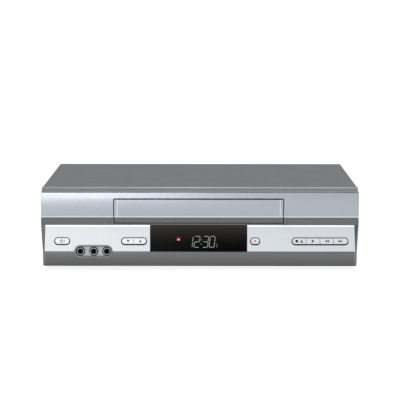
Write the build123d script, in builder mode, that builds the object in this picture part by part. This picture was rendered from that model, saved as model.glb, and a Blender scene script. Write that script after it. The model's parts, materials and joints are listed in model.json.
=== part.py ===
"""Front-loading video cassette recorder, in millimetres.

+Z is up and the front faces -Y. The origin is at the centre of the base of the whole box.
A depth is measured back from the foremost line of the front.
"""

import math
import os

from build123d import *

os.makedirs("parts", exist_ok=True)

# ---- Outside of the case ----
body_width = 360.0
body_height = 94.0
foot_height = 4.8
panel_depth = 17.0
cover_depth = 200.0
terminal_reach = 8.0

half_width = body_width / 2
front_y = -(panel_depth + cover_depth + terminal_reach) / 2
rear_y = front_y + panel_depth + cover_depth

# ---- Moulded front ----
panel_wall = 3.0
top_fall = 3.6
ridge_fall = 2.5
ridge_run = 3.0
top_lip_depth = 0.6
top_end_bevel = 1.4
fascia_height = 29.0
fascia_thickness = 2.0
fascia_inset = 0.7
fascia_seam = 0.35
fascia_edge = 0.5
fascia_end_edge = 0.6
fascia_corner = 1.6
band_radius = 130.0
strip_height = 9.3
strip_setback = 1.3
plate_rise = 29.8
plate_top_depth = 5.5
plate_foot_depth = 2.0
chin_bulge_depth = 2.2
chin_foot_depth = 5.0
corner_run = 4.1
corner_depth = 5.7
corner_foot_drift = 2.5
side_flare = 3.0
side_foot_inset = 1.6
corner_round = 1.2

fascia_top = body_height - top_fall
fascia_foot = fascia_top - fascia_height
band_middle = (fascia_top + fascia_foot) / 2
plate_top = fascia_foot - strip_height
plate_foot = plate_top - plate_rise

# ---- Control plates, on their own slanted plane ----
plate_thickness = 1.6
plate_top_margin = 5.2
plate_foot_margin = 4.1
plate_gap = 0.15
plate_bevel = 0.4
plate_seat_wall = 1.4
display_low_x = -56.3
display_high_x = 53.6
display_end_lip = 3.5
display_edge_lip = 2.5
tube_end_margin = 7.0
tube_height = 22.0
tube_front = 4.6
tube_back = 9.5
tube_neck_inset = 4.0
plate_lean = math.atan2(plate_top_depth - plate_foot_depth, plate_rise)
plate_height = math.hypot(plate_top_depth - plate_foot_depth, plate_rise)
half_plate = plate_height / 2
plate_top_half = half_width - plate_top_margin
plate_foot_half = half_width - plate_foot_margin

# ---- Keys ----
key_level = -3.2
key_height = 6.5
key_corner = 3.1
key_gap = 0.9
key_proud = 0.9
key_edge = 0.35
key_travel = 0.5
key_split = 0.35
flange_thickness = 1.0
flange_lip = 0.8
flange_gap = 0.4
flange_corner = 1.0
stem_width = 3.6
stem_corner = 1.7
stem_gap = 0.1
switch_size = 6.0
switch_height = 3.3
plunger_radius = 1.6
plunger_height = 0.8
board_thickness = 1.6
board_offset = 12.5
board_floor_gap = 1.2
board_high_level = 13.0
board_margin = 15.0
board_boss_level = 8.5
board_boss_width = 5.0
board_boss_margins = (25.0, 30.0)
board_boss_inner_xs = (-75.0, 85.0)
rocker_reach = 8.0
rocker_flange = 12.0
rocker_pin_radius = 0.7
rocker_pin_reach = 1.5
rocker_pin_gap = 0.15
rocker_lug_width = 5.0
rocker_lug_drop = 2.0
power_margin = 16.2
power_width = 15.9
channel_gap = 4.5
channel_width = 27.4
record_gap = 4.3
record_width = 9.4
transport_margin = 12.8
transport_widths = (15.4, 15.6, 15.2, 16.1)

power_low = -half_width + power_margin
power_high = power_low + power_width
channel_high = display_low_x - channel_gap
channel_low = channel_high - channel_width
record_low = display_high_x + record_gap
record_high = record_low + record_width
transport_high = half_width - transport_margin
transport_low = transport_high - sum(transport_widths)
keys = {
    "power_button": (power_low, power_high, power_low, power_high),
    "channel_rocker": (channel_low, channel_high, channel_low, channel_high),
    "record_button": (record_low, record_high, record_low, record_high),
}
transport_names = ("stop_eject_button", "play_button", "rewind_button", "fast_forward_button")
key_edge_x = transport_low
for transport_name, transport_width in zip(transport_names, transport_widths):
    keys[transport_name] = (transport_low, transport_high, key_edge_x, key_edge_x + transport_width)
    key_edge_x += transport_width

# ---- Front sockets ----
recess_gap = 5.85
recess_level = -15.1
recess_width = 43.3
recess_height = 14.2
recess_depth = 3.2
recess_rim = 1.3
recess_floor = 1.4
recess_proud = 0.3
jack_pitch = 14.9
jack_pocket_gap = 1.1
jack_block_height = 13.0
jack_block_side = 6.45
jack_core_reach = 3.0
shell_radius = 4.15
shell_bore = 3.35
shell_back = 7.0
shell_front = 0.9
contact_radius = 1.6
contact_floor = 1.0
running_gap = 0.05
fit_gap = 0.3
recess_x = power_high + recess_gap + recess_width / 2

# ---- Cassette, door and slot ----
cassette_width = 187.0
cassette_height = 25.0
cassette_play = 0.2
deck_x = -1.3
door_width = 190.5
door_gap = 1.0
door_top_drop = 8.1
door_rise = 2.8
door_skin = 1.6
door_thickness = 3.4
door_skin_margin = 1.5
door_skin_step = 0.8
door_axis_depth = 5.0
door_lip_thickness = 2.0
door_pin_radius = 1.2
door_pin_gap = 0.2
ear_radius = 2.0
ear_thickness = 1.5
ear_front_drop = 9.0
ear_back_drop = 4.0
cheek_thickness = 2.5
cheek_back_gap = 3.0
cheek_foot_drop = 2.0
cheek_top_drop = 1.0
slot_floor_rise = 0.4
leaf_thickness = 0.4
leaf_width = 4.0
leaf_margin = 4.0
leaf_bend_drop = 8.0
leaf_tip_drop = 3.0
leaf_bend = 2.0

door_top = fascia_top - door_top_drop
door_foot = plate_top + door_rise
cassette_floor = door_foot + slot_floor_rise
cassette_top = cassette_floor + cassette_height
door_axis_z = cassette_top + cassette_play + door_axis_depth

# ---- Loader ----
sheet = 1.2
carriage_sheet = 1.4
holder_clearance = 0.7
holder_front_depth = 38.6
holder_length = 48.0
holder_roof_gap = 0.8
holder_pin_insets = (16.0, 34.0)
roof_window_width = 62.0
roof_window_length = 24.0
window_round = 4.0
stop_tab = (74.0, 88.0)
stop_tab_drop = 6.0
ledge_width = 12.0
layer_gap = 1.6
loader_travel = 46.0
cassette_seat = 8.3
pin_radius = 1.9
slot_gap = 0.2
holder_pin_rise = 12.7
carriage_pin_rise = 21.2
carriage_start = 42.6
carriage_length = 42.0
carriage_pin_inset = 6.0
carriage_shoulder = 8.0
carriage_shoulder_rise = 5.0
rack_bar = 4.0
pin_end = 1.0
rack_tail = 8.0
rack_rise = 15.5
carriage_roof_gap = 5.5
crossbar_width = 14.0
bracket_front = 36.0
bracket_back = 137.0
bracket_roof_gap = 4.0
bracket_bevel = 8.0
bracket_window_level = 50.0
bracket_window_height = 30.0
bracket_front_window = (24.0, 30.0)
bracket_back_window = (20.0, 20.0)
bracket_foot_margin = 0.3
pinion_side_gap = 0.6
pinion_wall_gap = 0.3
pinion_stud_end = 1.5
gear_module = 1.0
gear_addendum = 0.85
gear_dedendum = 1.15
tooth_root_share = 0.31
tooth_tip_share = 0.13
rack_tip_share = 0.12
loader_teeth = 14

# ---- Tape deck ----
deck_floor = 24.0
deck_sheet = 1.5
deck_half = 106.0
deck_front = 30.0
deck_back = 206.0
reel_spread = 46.0
reel_depth = 78.0
reel_radius = 24.0
reel_foot_radius = 8.0
reel_step_radius = 12.5
reel_hub_radius = 5.5
reel_rises = (1.1, 1.7, 5.7, 7.7, 19.5)
reel_key_count = 3
reel_key_length = 6.0
reel_key_width = 2.0
reel_key_height = 10.0
reel_key_rise = 12.7
stud_radius = 2.0
reel_stud_rise = 16.5
cam_stud_rise = 8.5
pinch_stud_rise = 5.5
tension_stud_rise = 4.5
deck_corner = 5.0
deck_window_round = 4.0
front_window = (48.0, 60.0, 20.0)
side_window = (80.0, 60.0, 20.0, 34.0)
drum_x = -4.0
drum_depth = 170.0
drum_radius = 31.0
drum_tilt = 6.0
drum_lift = 4.0
lower_drum_height = 15.5
upper_drum_height = 13.0
drum_slit = 0.3
drum_shaft_radius = 3.0
drum_foot_step = 3.5
drum_foot_sink = 2.5
drum_wall = 3.0
drum_core = 9.0
drum_cavity = 5.0
rotor_rim = 4.0
rotor_core = 11.0
rotor_dish = 3.5
head_count = 4
head_window = 3.0
head_window_height = 2.0
shaft_foot = 2.0
shaft_end = 1.0
capstan_x = 58.0
capstan_depth = 136.0
capstan_radius = 1.5
flywheel_radius = 24.0
flywheel_rim = 4.0
flywheel_core = 6.0
flywheel_dish = 2.0
flywheel_drops = (9.4, 3.4)
pulley_drops = (11.4, 9.4)
belt_drops = (11.1, 9.7)
capstan_pulley_radius = 8.0
centre_pulley_radius = 12.0
belt_gap = 0.1
belt_thickness = 1.2
capstan_rise = 32.5
housing_size = 40.0
housing_corner = 6.0
housing_gap = 0.9
housing_hole_gap = 0.4
sleeve_rise = 7.5
pulley_x = 0.0
pulley_depth = 96.0
idler_radius = 13.0
idler_rim = 3.0
idler_dish = 1.0
axle_radius = 1.5
hub_radius = 5.0
wheel_rises = (2.1, 6.1)
arm_gap = 0.4
arm_sheet = 1.2
arm_pivot_radius = 4.5
arm_tip_radius = 3.5
roller_radius = 7.0
roller_rises = (9.0, 24.5)
roller_end_gap = 0.5
pinch_sheet = 2.0
pinch_boss_radius = 3.0
pinch_axle_end = 2.0
pinch_pivot = (80.0, 142.0)
pinch_length = 18.0
pinch_rest_angle = 136.3
cam_centre = (-78.0, 165.0)
cam_teeth = 40
motor_teeth = 10
guide_start = (26.0, 128.0)
guide_end = (40.0, 165.0)
keel_length = 6.0
keel_width = 3.4
track_end_gap = 0.6
track_side_gap = 0.4
shoe_length = 14.0
shoe_width = 9.0
shoe_corner = 2.0
shoe_gap = 0.2
shoe_height = 3.2
guide_roller = (3.2, 3.0, 25.0)
guide_cap = (4.0, 27.5)
slant_start = (-4.5, -0.5)
slant_end = (-1.6, 21.0)
slant_radius = 1.2
audio_place = (53.0, 156.0)
audio_base = (14.0, 12.0, 2.0)
audio_size = (10.0, 8.0, 24.0)
erase_place = (-54.0, 151.0)
erase_size = (8.0, 8.0, 25.0)
head_corner = 2.5
tension_tip_radius = 3.0
tension_post_radius = 1.8
tension_post_rise = 22.5
cam_rise = 1.5
cam_thickness = 5.0
cam_collar_radius = 6.0
cam_collar_gap = 0.3
cam_track = (2.5, 9.0, 12.0, 2.0)
motor_can_radius = 10.0
motor_length = 24.0
motor_shaft_radius = 1.2
motor_shaft_end = 8.0
motor_plate_rises = (10.5, 12.0)
motor_plate = (15.0, 4.0, 6.0)
motor_post = (12.5, 2.0, 2.5)
tension_pivot = (-78.0, 128.0)
tension_length = 24.0
tension_rest_angle = -30.0

deck_top = deck_floor + deck_sheet
loader_drop = cassette_floor - deck_top - cassette_seat
holder_pin_level = cassette_floor + holder_pin_rise
carriage_pin_level = cassette_floor + carriage_pin_rise
rack_pitch_z = deck_top + rack_rise
carriage_top = body_height - carriage_roof_gap
bracket_top = body_height - bracket_roof_gap
flywheel_z = tuple(deck_floor - drop for drop in flywheel_drops)
pulley_z = tuple(deck_floor - drop for drop in pulley_drops)
belt_z = tuple(deck_floor - drop for drop in belt_drops)
sleeve_top = deck_top + sleeve_rise
wheel_z = tuple(deck_top + rise for rise in wheel_rises)
arm_z = (deck_top + arm_gap, deck_top + arm_gap + arm_sheet)
roller_z = tuple(deck_top + rise for rise in roller_rises)
reel_z = tuple(deck_top + rise for rise in reel_rises)
guide_z = (deck_top + shoe_gap, deck_top + shoe_gap + shoe_height)
gear_z = (deck_top + cam_rise, deck_top + cam_rise + cam_thickness)
motor_plate_z = tuple(deck_top + rise for rise in motor_plate_rises)

# ---- Case behind the front ----
cover_sheet = 0.8
cover_inset = 0.5
cover_bend = 2.5
cover_lip = 9.0
cover_foot_gap = 0.5
cover_fit = 0.2
louvre_count = 14
louvre_pitch = 6.0
louvre_width = 2.4
louvre_height = 18.0
louvre_back = 60.0
louvre_level = 70.0
chassis_floor = 2.0
chassis_wall = 2.0
chassis_wall_height = 19.0
rear_wall = 2.0
foot_radius = 12.0
foot_margin = 40.0
foot_depths = (58.0, 192.0)
screw_level = 15.0
screw_depths = (40.0, 185.0)
rear_screw_margin = 30.0
screw_radius = 1.35
screw_hole_gap = 0.15
screw_head = 3.2
screw_head_height = 1.6
side_head_margin = 0.05
screw_inner_reach = 2.0
rear_screw_reach = 3.0
board_level = 10.0
boss_radius = 4.0
boss_x = 98.0
boss_depths = (36.0, 198.0)
tongue_thickness = 2.0
tongue_half = 9.0
tongue_reach = 6.0
tongue_xs = (-80.0, 0.0, 120.0)
rest_margin = 20.0
rest_depths = (60.0, 180.0)
rest_radius = 3.0
vent_count = 8
vent_pitch = 9.0
vent_width = 3.0
vent_length = 40.0
vent_spread = 60.0
vent_depth = 120.0
foot_edge = 1.0

cover_foot = foot_height + cover_foot_gap
cover_half = half_width - cover_inset
rear_face = rear_y - cover_sheet
rear_inside = rear_face - rear_wall
chassis_top = foot_height + chassis_floor
chassis_half = cover_half - cover_sheet - cover_fit
case_inside = chassis_half - chassis_wall
foot_spread = half_width - foot_margin
rear_screw_x = half_width - rear_screw_margin
rear_screw_xs = (-rear_screw_x, 0.0, rear_screw_x)
rear_level = body_height - cover_lip / 2
tongue_floor = foot_height + panel_wall
tongue_top = tongue_floor + tongue_thickness

# ---- Sockets on the back ----
side_clearance = 2.25
tuner_width = 32.0
tuner_length = 60.0
tuner_top = 66.0
aerial_levels = (30.0, 54.0)
aerial_radius = 4.75
jack_block_width = 30.0
jack_block_length = 7.5
jack_block_rim = 9.0
jack_block_gap = 4.0
jack_row_pitch = 16.0
jack_rows_middle = 54.0
rear_jack_reach = 7.0
gland_margin = 40.0
gland_level = 22.0
gland_radius = 7.0
gland_bore = 3.2
gland_flange = 2.0
gland_inner_reach = 3.0
socket_gap = 0.9
aerial_bore_length = 7.0
rear_core_reach = 2.0
rear_slot_count = 9
rear_slot_pitch = 6.0
rear_slot_width = 2.5
rear_slot_height = 24.0
rear_slot_level = 66.0

tuner_x = -(case_inside - side_clearance - tuner_width / 2)
jack_column_x = tuner_x + (tuner_width + jack_block_width) / 2 + jack_block_gap
gland_x = half_width - gland_margin

# ---- Electronics ----
main_board_gap = 4.25
main_board_notch = 1.0
main_board_front = 26.0
main_board_back_gap = 1.2
core_width = 30.0
core_length = 28.0
core_height = 20.0
coil_width = 20.0
coil_length = 36.0
coil_height = 14.0
transformer_depth = 132.0
deck_clearance = 3.0
big_capacitor = (11.0, 30.0, 92.0)
small_capacitors = ((7.0, 24.0, 100.0), (5.0, 18.0, 78.0))
sink_thickness = 2.0
sink_length = 46.0
sink_height = 44.0
sink_depth = 135.0
fin_reach = 9.0
fin_thickness = 1.4
fin_count = 7


def y_at(depth):
    """Y of a depth behind the foremost line."""
    return front_y + depth


def deck(x, depth):
    """Point of the deck from its own middle line and a depth."""
    return (deck_x + x, y_at(depth))


def band_depth(z):
    """Depth of the bulged silver band at a height."""
    return band_radius - math.sqrt(band_radius**2 - (z - band_middle) ** 2)


def slab(x, y, z, mode=Mode.ADD):
    """Block between two limits on each axis."""
    with Locations(((x[0] + x[1]) / 2, (y[0] + y[1]) / 2, (z[0] + z[1]) / 2)):
        Box(x[1] - x[0], y[1] - y[0], z[1] - z[0], mode=mode)


def post(centre, z, radius, mode=Mode.ADD):
    """Upright cylinder between two heights."""
    with Locations((centre[0], centre[1], z[0])):
        Cylinder(radius, z[1] - z[0], align=(Align.CENTER, Align.CENTER, Align.MIN), mode=mode)


def rod(start, end, radius, mode=Mode.ADD):
    """Cylinder from one point to another."""
    run = Vector(*end) - Vector(*start)
    with BuildSketch(Plane(origin=start, z_dir=run)) as end_face:
        Circle(radius)
    extrude(end_face.sketch, amount=run.length, mode=mode)


def link(first, second, radii, z, mode=Mode.ADD):
    """Flat arm with a round end about each of two points."""
    with BuildSketch(Plane.XY.offset(z[0])) as outline:
        for centre, radius in zip((first, second), radii):
            with Locations(centre):
                Circle(radius)
        make_hull(outline.edges())
    extrude(outline.sketch, amount=z[1] - z[0], mode=mode)


def plate_prism(shapes, low, high, mode=Mode.ADD):
    """Rounded prisms square to the control plates: each is (x, level, width, height, corner)."""
    with BuildSketch(plate_plane.offset(low)) as outline:
        for x, level, width, height, corner in shapes:
            with Locations((x, level)):
                RectangleRounded(width, height, corner)
    extrude(outline.sketch, amount=high - low, mode=mode)


def gear_points(teeth, pitch_radius, turn):
    """Corners of a spur gear's outline, with one tooth at the angle turn."""
    step = 2 * math.pi / teeth
    root = pitch_radius - gear_dedendum * gear_module
    tip = pitch_radius + gear_addendum * gear_module
    shares = (-tooth_root_share, -tooth_tip_share, tooth_tip_share, tooth_root_share)
    corners = []
    for number in range(teeth):
        middle = turn + number * step
        for radius, share in zip((root, tip, tip, root), shares):
            angle = middle + share * step
            corners.append((radius * math.cos(angle), radius * math.sin(angle)))
    return corners


def save(piece, name):
    """Label a finished piece and write it."""
    piece.label = name
    export_step(piece, f"parts/{name}.step")


plate_plane = Plane(
    origin=(0, y_at((plate_top_depth + plate_foot_depth) / 2), (plate_top + plate_foot) / 2),
    x_dir=(1, 0, 0),
    z_dir=(0, -math.cos(plate_lean), math.sin(plate_lean)),
)

# ==== Moulded front panel ====
door_hole_half = door_width / 2 + door_gap
flange_top = -plate_thickness - plate_seat_wall - flange_gap
flange_half_height = (key_height + key_gap) / 2 + flange_lip
rocker_x = (channel_low + channel_high) / 2
rocker_axis = flange_top - flange_thickness / 2
board_boss_xs = (
    -half_width + board_boss_margins[0],
    *board_boss_inner_xs,
    half_width - board_boss_margins[1],
)
key_hole_shapes = []
for pill_low, pill_high, key_low, key_high in keys.values():
    if key_low == pill_low:
        hole_width = pill_high - pill_low + 2 * key_gap
        hole_middle = (pill_high + pill_low) / 2
        key_hole_shapes.append(
            (hole_middle, key_level, hole_width, key_height + 2 * key_gap, key_corner + key_gap)
        )
recess_hole = (
    recess_x,
    recess_level,
    recess_width + 2 * plate_gap,
    recess_height + 2 * plate_gap,
    recess_height / 2,
)


def rocker_point(level):
    """Point on the channel rocker's pin line, at a level from the middle of the keys."""
    return tuple(plate_plane.from_local_coords((rocker_x, key_level + level, rocker_axis)))


def side_cut(margin):
    """Waste beside the front: level ends on top, a flare below them and a taper to the foot."""
    outline = (
        (half_width + 1, body_height + 1),
        (half_width - fascia_inset, body_height + 1),
        (half_width - fascia_inset, fascia_foot),
        (half_width, fascia_foot - side_flare),
        (half_width, plate_top),
        (half_width - side_foot_inset, plate_foot),
        (half_width - side_foot_inset, foot_height - 1),
        (half_width + 1, foot_height - 1),
    )
    with BuildSketch(Plane.XZ.offset(-y_at(panel_depth + margin))) as waste:
        Polygon(*outline, align=None)
        mirror(about=Plane.YZ)
    extrude(waste.sketch, amount=panel_depth + 2 * margin, mode=Mode.SUBTRACT)


with BuildPart() as front_panel:
    with BuildSketch(Plane.YZ):
        with BuildLine():
            Polyline(
                (y_at(chin_foot_depth), foot_height),
                (y_at(panel_depth), foot_height),
                (y_at(panel_depth), body_height),
                (y_at(panel_depth - ridge_run), body_height - ridge_fall),
                (y_at(top_lip_depth), fascia_top),
                (y_at(fascia_thickness), fascia_top),
                (y_at(fascia_thickness), fascia_foot),
                (y_at(strip_setback), fascia_foot),
                (y_at(plate_top_depth), plate_top),
                (y_at(plate_foot_depth), plate_foot),
            )
            ThreePointArc(
                (y_at(plate_foot_depth), plate_foot),
                (y_at(chin_bulge_depth), (plate_foot + foot_height) / 2),
                (y_at(chin_foot_depth), foot_height),
            )
        make_face()
    extrude(amount=half_width, both=True)
    # Hollow back, open to the rear.
    with BuildSketch(Plane.YZ):
        with BuildLine():
            Polyline(
                (y_at(chin_foot_depth + panel_wall), foot_height + panel_wall),
                (y_at(panel_depth + 1), foot_height + panel_wall),
                (y_at(panel_depth + 1), body_height - panel_wall),
                (y_at(panel_depth - ridge_run), body_height - ridge_fall - panel_wall),
                (y_at(fascia_thickness + panel_wall), fascia_top - panel_wall),
                (y_at(fascia_thickness + panel_wall), fascia_foot),
                (y_at(plate_top_depth + panel_wall), plate_top),
                (y_at(plate_foot_depth + panel_wall), plate_foot),
                close=True,
            )
        make_face()
    extrude(amount=half_width - panel_wall - corner_run - corner_foot_drift, both=True, mode=Mode.SUBTRACT)
    slab(
        (-half_width + panel_wall + side_foot_inset, half_width - panel_wall - side_foot_inset),
        (y_at(strip_setback + corner_depth + panel_wall), y_at(panel_depth + 1)),
        (foot_height + panel_wall, fascia_top - panel_wall),
        Mode.SUBTRACT,
    )
    # Slanted corners of the lower front, further in at the foot.
    for side in (-1, 1):
        for level, drift in ((fascia_foot, 0), (foot_height - 1, corner_foot_drift)):
            inner = half_width - corner_run - drift
            outer = half_width + 1
            slope = corner_depth / corner_run
            with BuildSketch(Plane.XY.offset(level)):
                Polygon(
                    (side * inner, y_at(strip_setback)),
                    (side * inner, y_at(-1)),
                    (side * outer, y_at(-1)),
                    (side * outer, y_at(strip_setback + (outer - inner) * slope)),
                    align=None,
                )
        loft(mode=Mode.SUBTRACT)
    side_cut(1)
    # Bevelled ends of the top slope.
    for side in (-1, 1):
        slope_end = front_panel.edges().filter_by(
            lambda edge: abs(edge.center().X - side * (half_width - fascia_inset)) < 0.01
            and edge.center().Z > fascia_top + 0.1
            and edge.bounding_box().min.Y > y_at(0)
            and edge.bounding_box().max.Y < y_at(panel_depth - ridge_run) + 0.01
        )
        chamfer(slope_end, top_end_bevel)
    # Seat of the control plates and the display window.
    with BuildSketch(plate_plane.offset(-plate_thickness)):
        Polygon(
            (-plate_foot_half - plate_gap, -half_plate - plate_gap),
            (plate_foot_half + plate_gap, -half_plate - plate_gap),
            (plate_top_half + plate_gap, half_plate + plate_gap),
            (-plate_top_half - plate_gap, half_plate + plate_gap),
            align=None,
        )
    extrude(amount=plate_thickness + 3, mode=Mode.SUBTRACT)
    display_middle = (display_low_x + display_high_x) / 2
    display_opening = (
        display_middle,
        0,
        display_high_x - display_low_x - 2 * display_end_lip,
        plate_height - 2 * display_edge_lip,
        1.0,
    )
    plate_prism([display_opening], -board_offset, 1, Mode.SUBTRACT)
    plate_prism(key_hole_shapes, -board_offset, 1, Mode.SUBTRACT)
    plate_prism([recess_hole], -board_offset, 3, Mode.SUBTRACT)
    # Door opening, its cheeks and the hinge bores.
    slab(
        (deck_x - door_hole_half, deck_x + door_hole_half),
        (y_at(-1), y_at(panel_depth + 1)),
        (door_foot - door_gap, door_top + door_gap),
        Mode.SUBTRACT,
    )
    for side in (-1, 1):
        ear_inner = deck_x + side * (door_width / 2 - ear_thickness - door_gap)
        cheek_inner = deck_x + side * door_hole_half
        cheek_outer = cheek_inner + side * cheek_thickness
        slab(
            sorted((ear_inner, cheek_inner)),
            (y_at(fascia_thickness + fit_gap), y_at(panel_depth)),
            (door_top, door_axis_z + ear_radius + 0.4),
            Mode.SUBTRACT,
        )
        slab(
            sorted((cheek_inner, cheek_outer)),
            (y_at(fascia_thickness), y_at(panel_depth - cheek_back_gap)),
            (door_foot - cheek_foot_drop, fascia_top - cheek_top_drop),
        )
        rod(
            (cheek_inner - side, y_at(door_axis_depth), door_axis_z),
            (cheek_outer + side, y_at(door_axis_depth), door_axis_z),
            door_pin_radius + running_gap,
            Mode.SUBTRACT,
        )
    # Posts that carry the operation board.
    for boss in board_boss_xs:
        post_shape = (boss, board_boss_level, board_boss_width, board_boss_width, board_boss_width / 2 - 0.1)
        plate_prism([post_shape], -board_offset, -plate_thickness - 0.5)
    # Lugs for the pins of the channel rocker.
    for side in (-1, 1):
        lug_low = flange_half_height + rocker_pin_gap
        lug_level = key_level + side * (lug_low + rocker_pin_reach / 2)
        lug = (rocker_x, lug_level, rocker_lug_width, rocker_pin_reach, 0.4)
        plate_prism([lug], rocker_axis - rocker_lug_drop, -plate_thickness - 0.5)
    rod(
        rocker_point(-flange_half_height - 2 * rocker_pin_reach),
        rocker_point(flange_half_height + 2 * rocker_pin_reach),
        rocker_pin_radius + rocker_pin_gap,
        Mode.SUBTRACT,
    )
save(front_panel.part, "front_panel")

# ==== Silver band over the upper front ====
band_top = fascia_top - fascia_seam
band_half = half_width - fascia_inset
with BuildPart() as upper_fascia:
    with BuildSketch(Plane.YZ):
        with BuildLine():
            ThreePointArc(
                (y_at(band_depth(fascia_foot)), fascia_foot),
                (y_at(0), band_middle),
                (y_at(band_depth(band_top)), band_top),
            )
            Polyline(
                (y_at(band_depth(band_top)), band_top),
                (y_at(fascia_thickness), band_top),
                (y_at(fascia_thickness), fascia_foot),
                (y_at(band_depth(fascia_foot)), fascia_foot),
            )
        make_face()
    extrude(amount=band_half, both=True)
    top_corners = upper_fascia.edges().filter_by(Axis.Y).group_by(Axis.Z)[-1]
    fillet(top_corners, fascia_corner)
    front_edges = upper_fascia.edges().filter_by(Axis.X).group_by(Axis.Y)[0]
    chamfer(front_edges, fascia_edge)
    with BuildSketch(Plane.XZ.offset(-y_at(fascia_thickness + 1))) as door_notch:
        with Locations((deck_x, door_top + door_gap)):
            Rectangle(
                2 * door_hole_half,
                2 * (door_top + door_gap - fascia_foot + 1),
                align=(Align.CENTER, Align.MAX),
            )
        fillet(door_notch.vertices().group_by(Axis.Y)[-1], corner_round)
    extrude(amount=fascia_thickness + 3, mode=Mode.SUBTRACT)
    end_faces = upper_fascia.faces().filter_by(Axis.X).sort_by(Axis.X)
    end_edges = [face.edges().sort_by(Axis.Y)[0] for face in (end_faces[0], end_faces[-1])]
    chamfer(end_edges, fascia_end_edge)
save(upper_fascia.part, "upper_fascia")

# ==== Control plates and display window ====
plate_spans = {
    "left_control_plate": (-half_width, display_low_x - plate_gap),
    "display_window": (display_low_x, display_high_x),
    "right_control_plate": (display_high_x + plate_gap, half_width),
}
for plate_name, (plate_low, plate_high) in plate_spans.items():
    with BuildPart() as plate:
        with BuildSketch(plate_plane.offset(-plate_thickness)):
            Polygon(
                (-plate_foot_half, -half_plate),
                (plate_foot_half, -half_plate),
                (plate_top_half, half_plate),
                (-plate_top_half, half_plate),
                align=None,
            )
            with Locations(((plate_low + plate_high) / 2, 0)):
                Rectangle(plate_high - plate_low, plate_height, mode=Mode.INTERSECT)
        extrude(amount=plate_thickness)
        if plate_name != "display_window":
            outer_face = plate.faces().sort_by(Axis(plate_plane.origin, plate_plane.z_dir))[-1]
            chamfer(outer_face.edges().filter_by(Axis.X).sort_by(Axis.Z)[-1], plate_bevel)
            plate_prism(key_hole_shapes, -plate_thickness - 1, 1, Mode.SUBTRACT)
        if plate_name == "left_control_plate":
            plate_prism([recess_hole], -plate_thickness - 1, 1, Mode.SUBTRACT)
    save(plate.part, plate_name)

# ==== Keys and the channel rocker ====
stem_end = -board_offset + switch_height + plunger_height + key_travel + stem_gap
for key_name, (pill_low, pill_high, key_low, key_high) in keys.items():
    low_x = key_low + key_split / 2 if key_low > pill_low + key_split else pill_low
    high_x = key_high - key_split / 2 if key_high < pill_high - key_split else pill_high
    middle_x = (low_x + high_x) / 2
    with BuildPart() as key:
        with BuildSketch(plate_plane.offset(flange_top)):
            with Locations(((pill_low + pill_high) / 2, key_level)):
                RectangleRounded(pill_high - pill_low, key_height, key_corner)
            with Locations((middle_x, key_level)):
                Rectangle(high_x - low_x, key_height, mode=Mode.INTERSECT)
        extrude(amount=key_proud - flange_top)
        chamfer(key.faces().sort_by(Axis(plate_plane.origin, plate_plane.z_dir))[-1].edges(), key_edge)
        rocks = key_name == "channel_rocker"
        flange_width = rocker_flange if rocks else high_x - low_x
        flange = (middle_x, key_level, flange_width, 2 * flange_half_height, flange_corner)
        plate_prism([flange], flange_top - flange_thickness, flange_top)
        stems = (-rocker_reach, rocker_reach) if rocks else (0,)
        for stem in stems:
            stem_shape = (middle_x + stem, key_level, stem_width, stem_width, stem_corner)
            plate_prism([stem_shape], stem_end, flange_top)
        if rocks:
            pin_end_level = flange_half_height + rocker_pin_reach
            rod(rocker_point(-pin_end_level), rocker_point(pin_end_level), rocker_pin_radius)
    save(key.part, key_name)

# ==== Tact switches behind the keys ====
switch_xs = []
for key_name, (pill_low, pill_high, key_low, key_high) in keys.items():
    if key_name == "channel_rocker":
        switch_xs.append((key_low + key_high) / 2 - rocker_reach)
        switch_xs.append((key_low + key_high) / 2 + rocker_reach)
    else:
        switch_xs.append((key_low + key_high) / 2)
with BuildPart() as key_switches:
    bodies = [(x, key_level, switch_size, switch_size, 0.5) for x in switch_xs]
    plate_prism(bodies, -board_offset, -board_offset + switch_height)
    buttons = [(x, key_level, 2 * plunger_radius, 2 * plunger_radius, 1.5) for x in switch_xs]
    plunger_foot = -board_offset + switch_height
    plate_prism(buttons, plunger_foot, plunger_foot + plunger_height)
save(key_switches.part, "key_switches")

board_back = -board_offset - board_thickness
board_low_z = tongue_top + board_floor_gap - board_back * math.sin(plate_lean)
board_low_level = (board_low_z - (plate_top + plate_foot) / 2) / math.cos(plate_lean)
with BuildPart() as operation_board:
    board_outline = (
        0,
        (board_high_level + board_low_level) / 2,
        2 * (half_width - board_margin),
        board_high_level - board_low_level,
        1.5,
    )
    plate_prism([board_outline], board_back, -board_offset)
save(operation_board.part, "operation_board")

# ==== Fluorescent display ====
with BuildPart() as display_tube:
    tube_width = display_high_x - display_low_x - 2 * tube_end_margin
    tube_shape = (display_middle, 0, tube_width, tube_height, 1.0)
    plate_prism([tube_shape], -tube_back, -tube_front)
    neck_shape = (display_middle, 0, tube_width - 2 * tube_neck_inset, tube_height - 2 * tube_neck_inset, 1.0)
    plate_prism([neck_shape], -board_offset, -tube_back)
save(display_tube.part, "display_tube")

# ==== Front sockets ====
jack_xs = [recess_x - jack_pitch, recess_x, recess_x + jack_pitch]
with BuildPart() as jack_recess:
    rim = (recess_x, recess_level, recess_width, recess_height, recess_height / 2 - 0.05)
    plate_prism([rim], -recess_depth - recess_floor, recess_proud)
    dish_height = recess_height - 2 * recess_rim
    dish = (recess_x, recess_level, recess_width - 2 * recess_rim, dish_height, dish_height / 2 - 0.05)
    plate_prism([dish], -recess_depth, recess_proud + 1, Mode.SUBTRACT)
    for jack_x in jack_xs:
        with BuildSketch(plate_plane.offset(-recess_depth - recess_floor - 1)) as pocket:
            with Locations((jack_x, recess_level)):
                Circle(shell_radius + jack_pocket_gap)
        extrude(pocket.sketch, amount=recess_floor + 2, mode=Mode.SUBTRACT)
save(jack_recess.part, "jack_recess")

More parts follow.
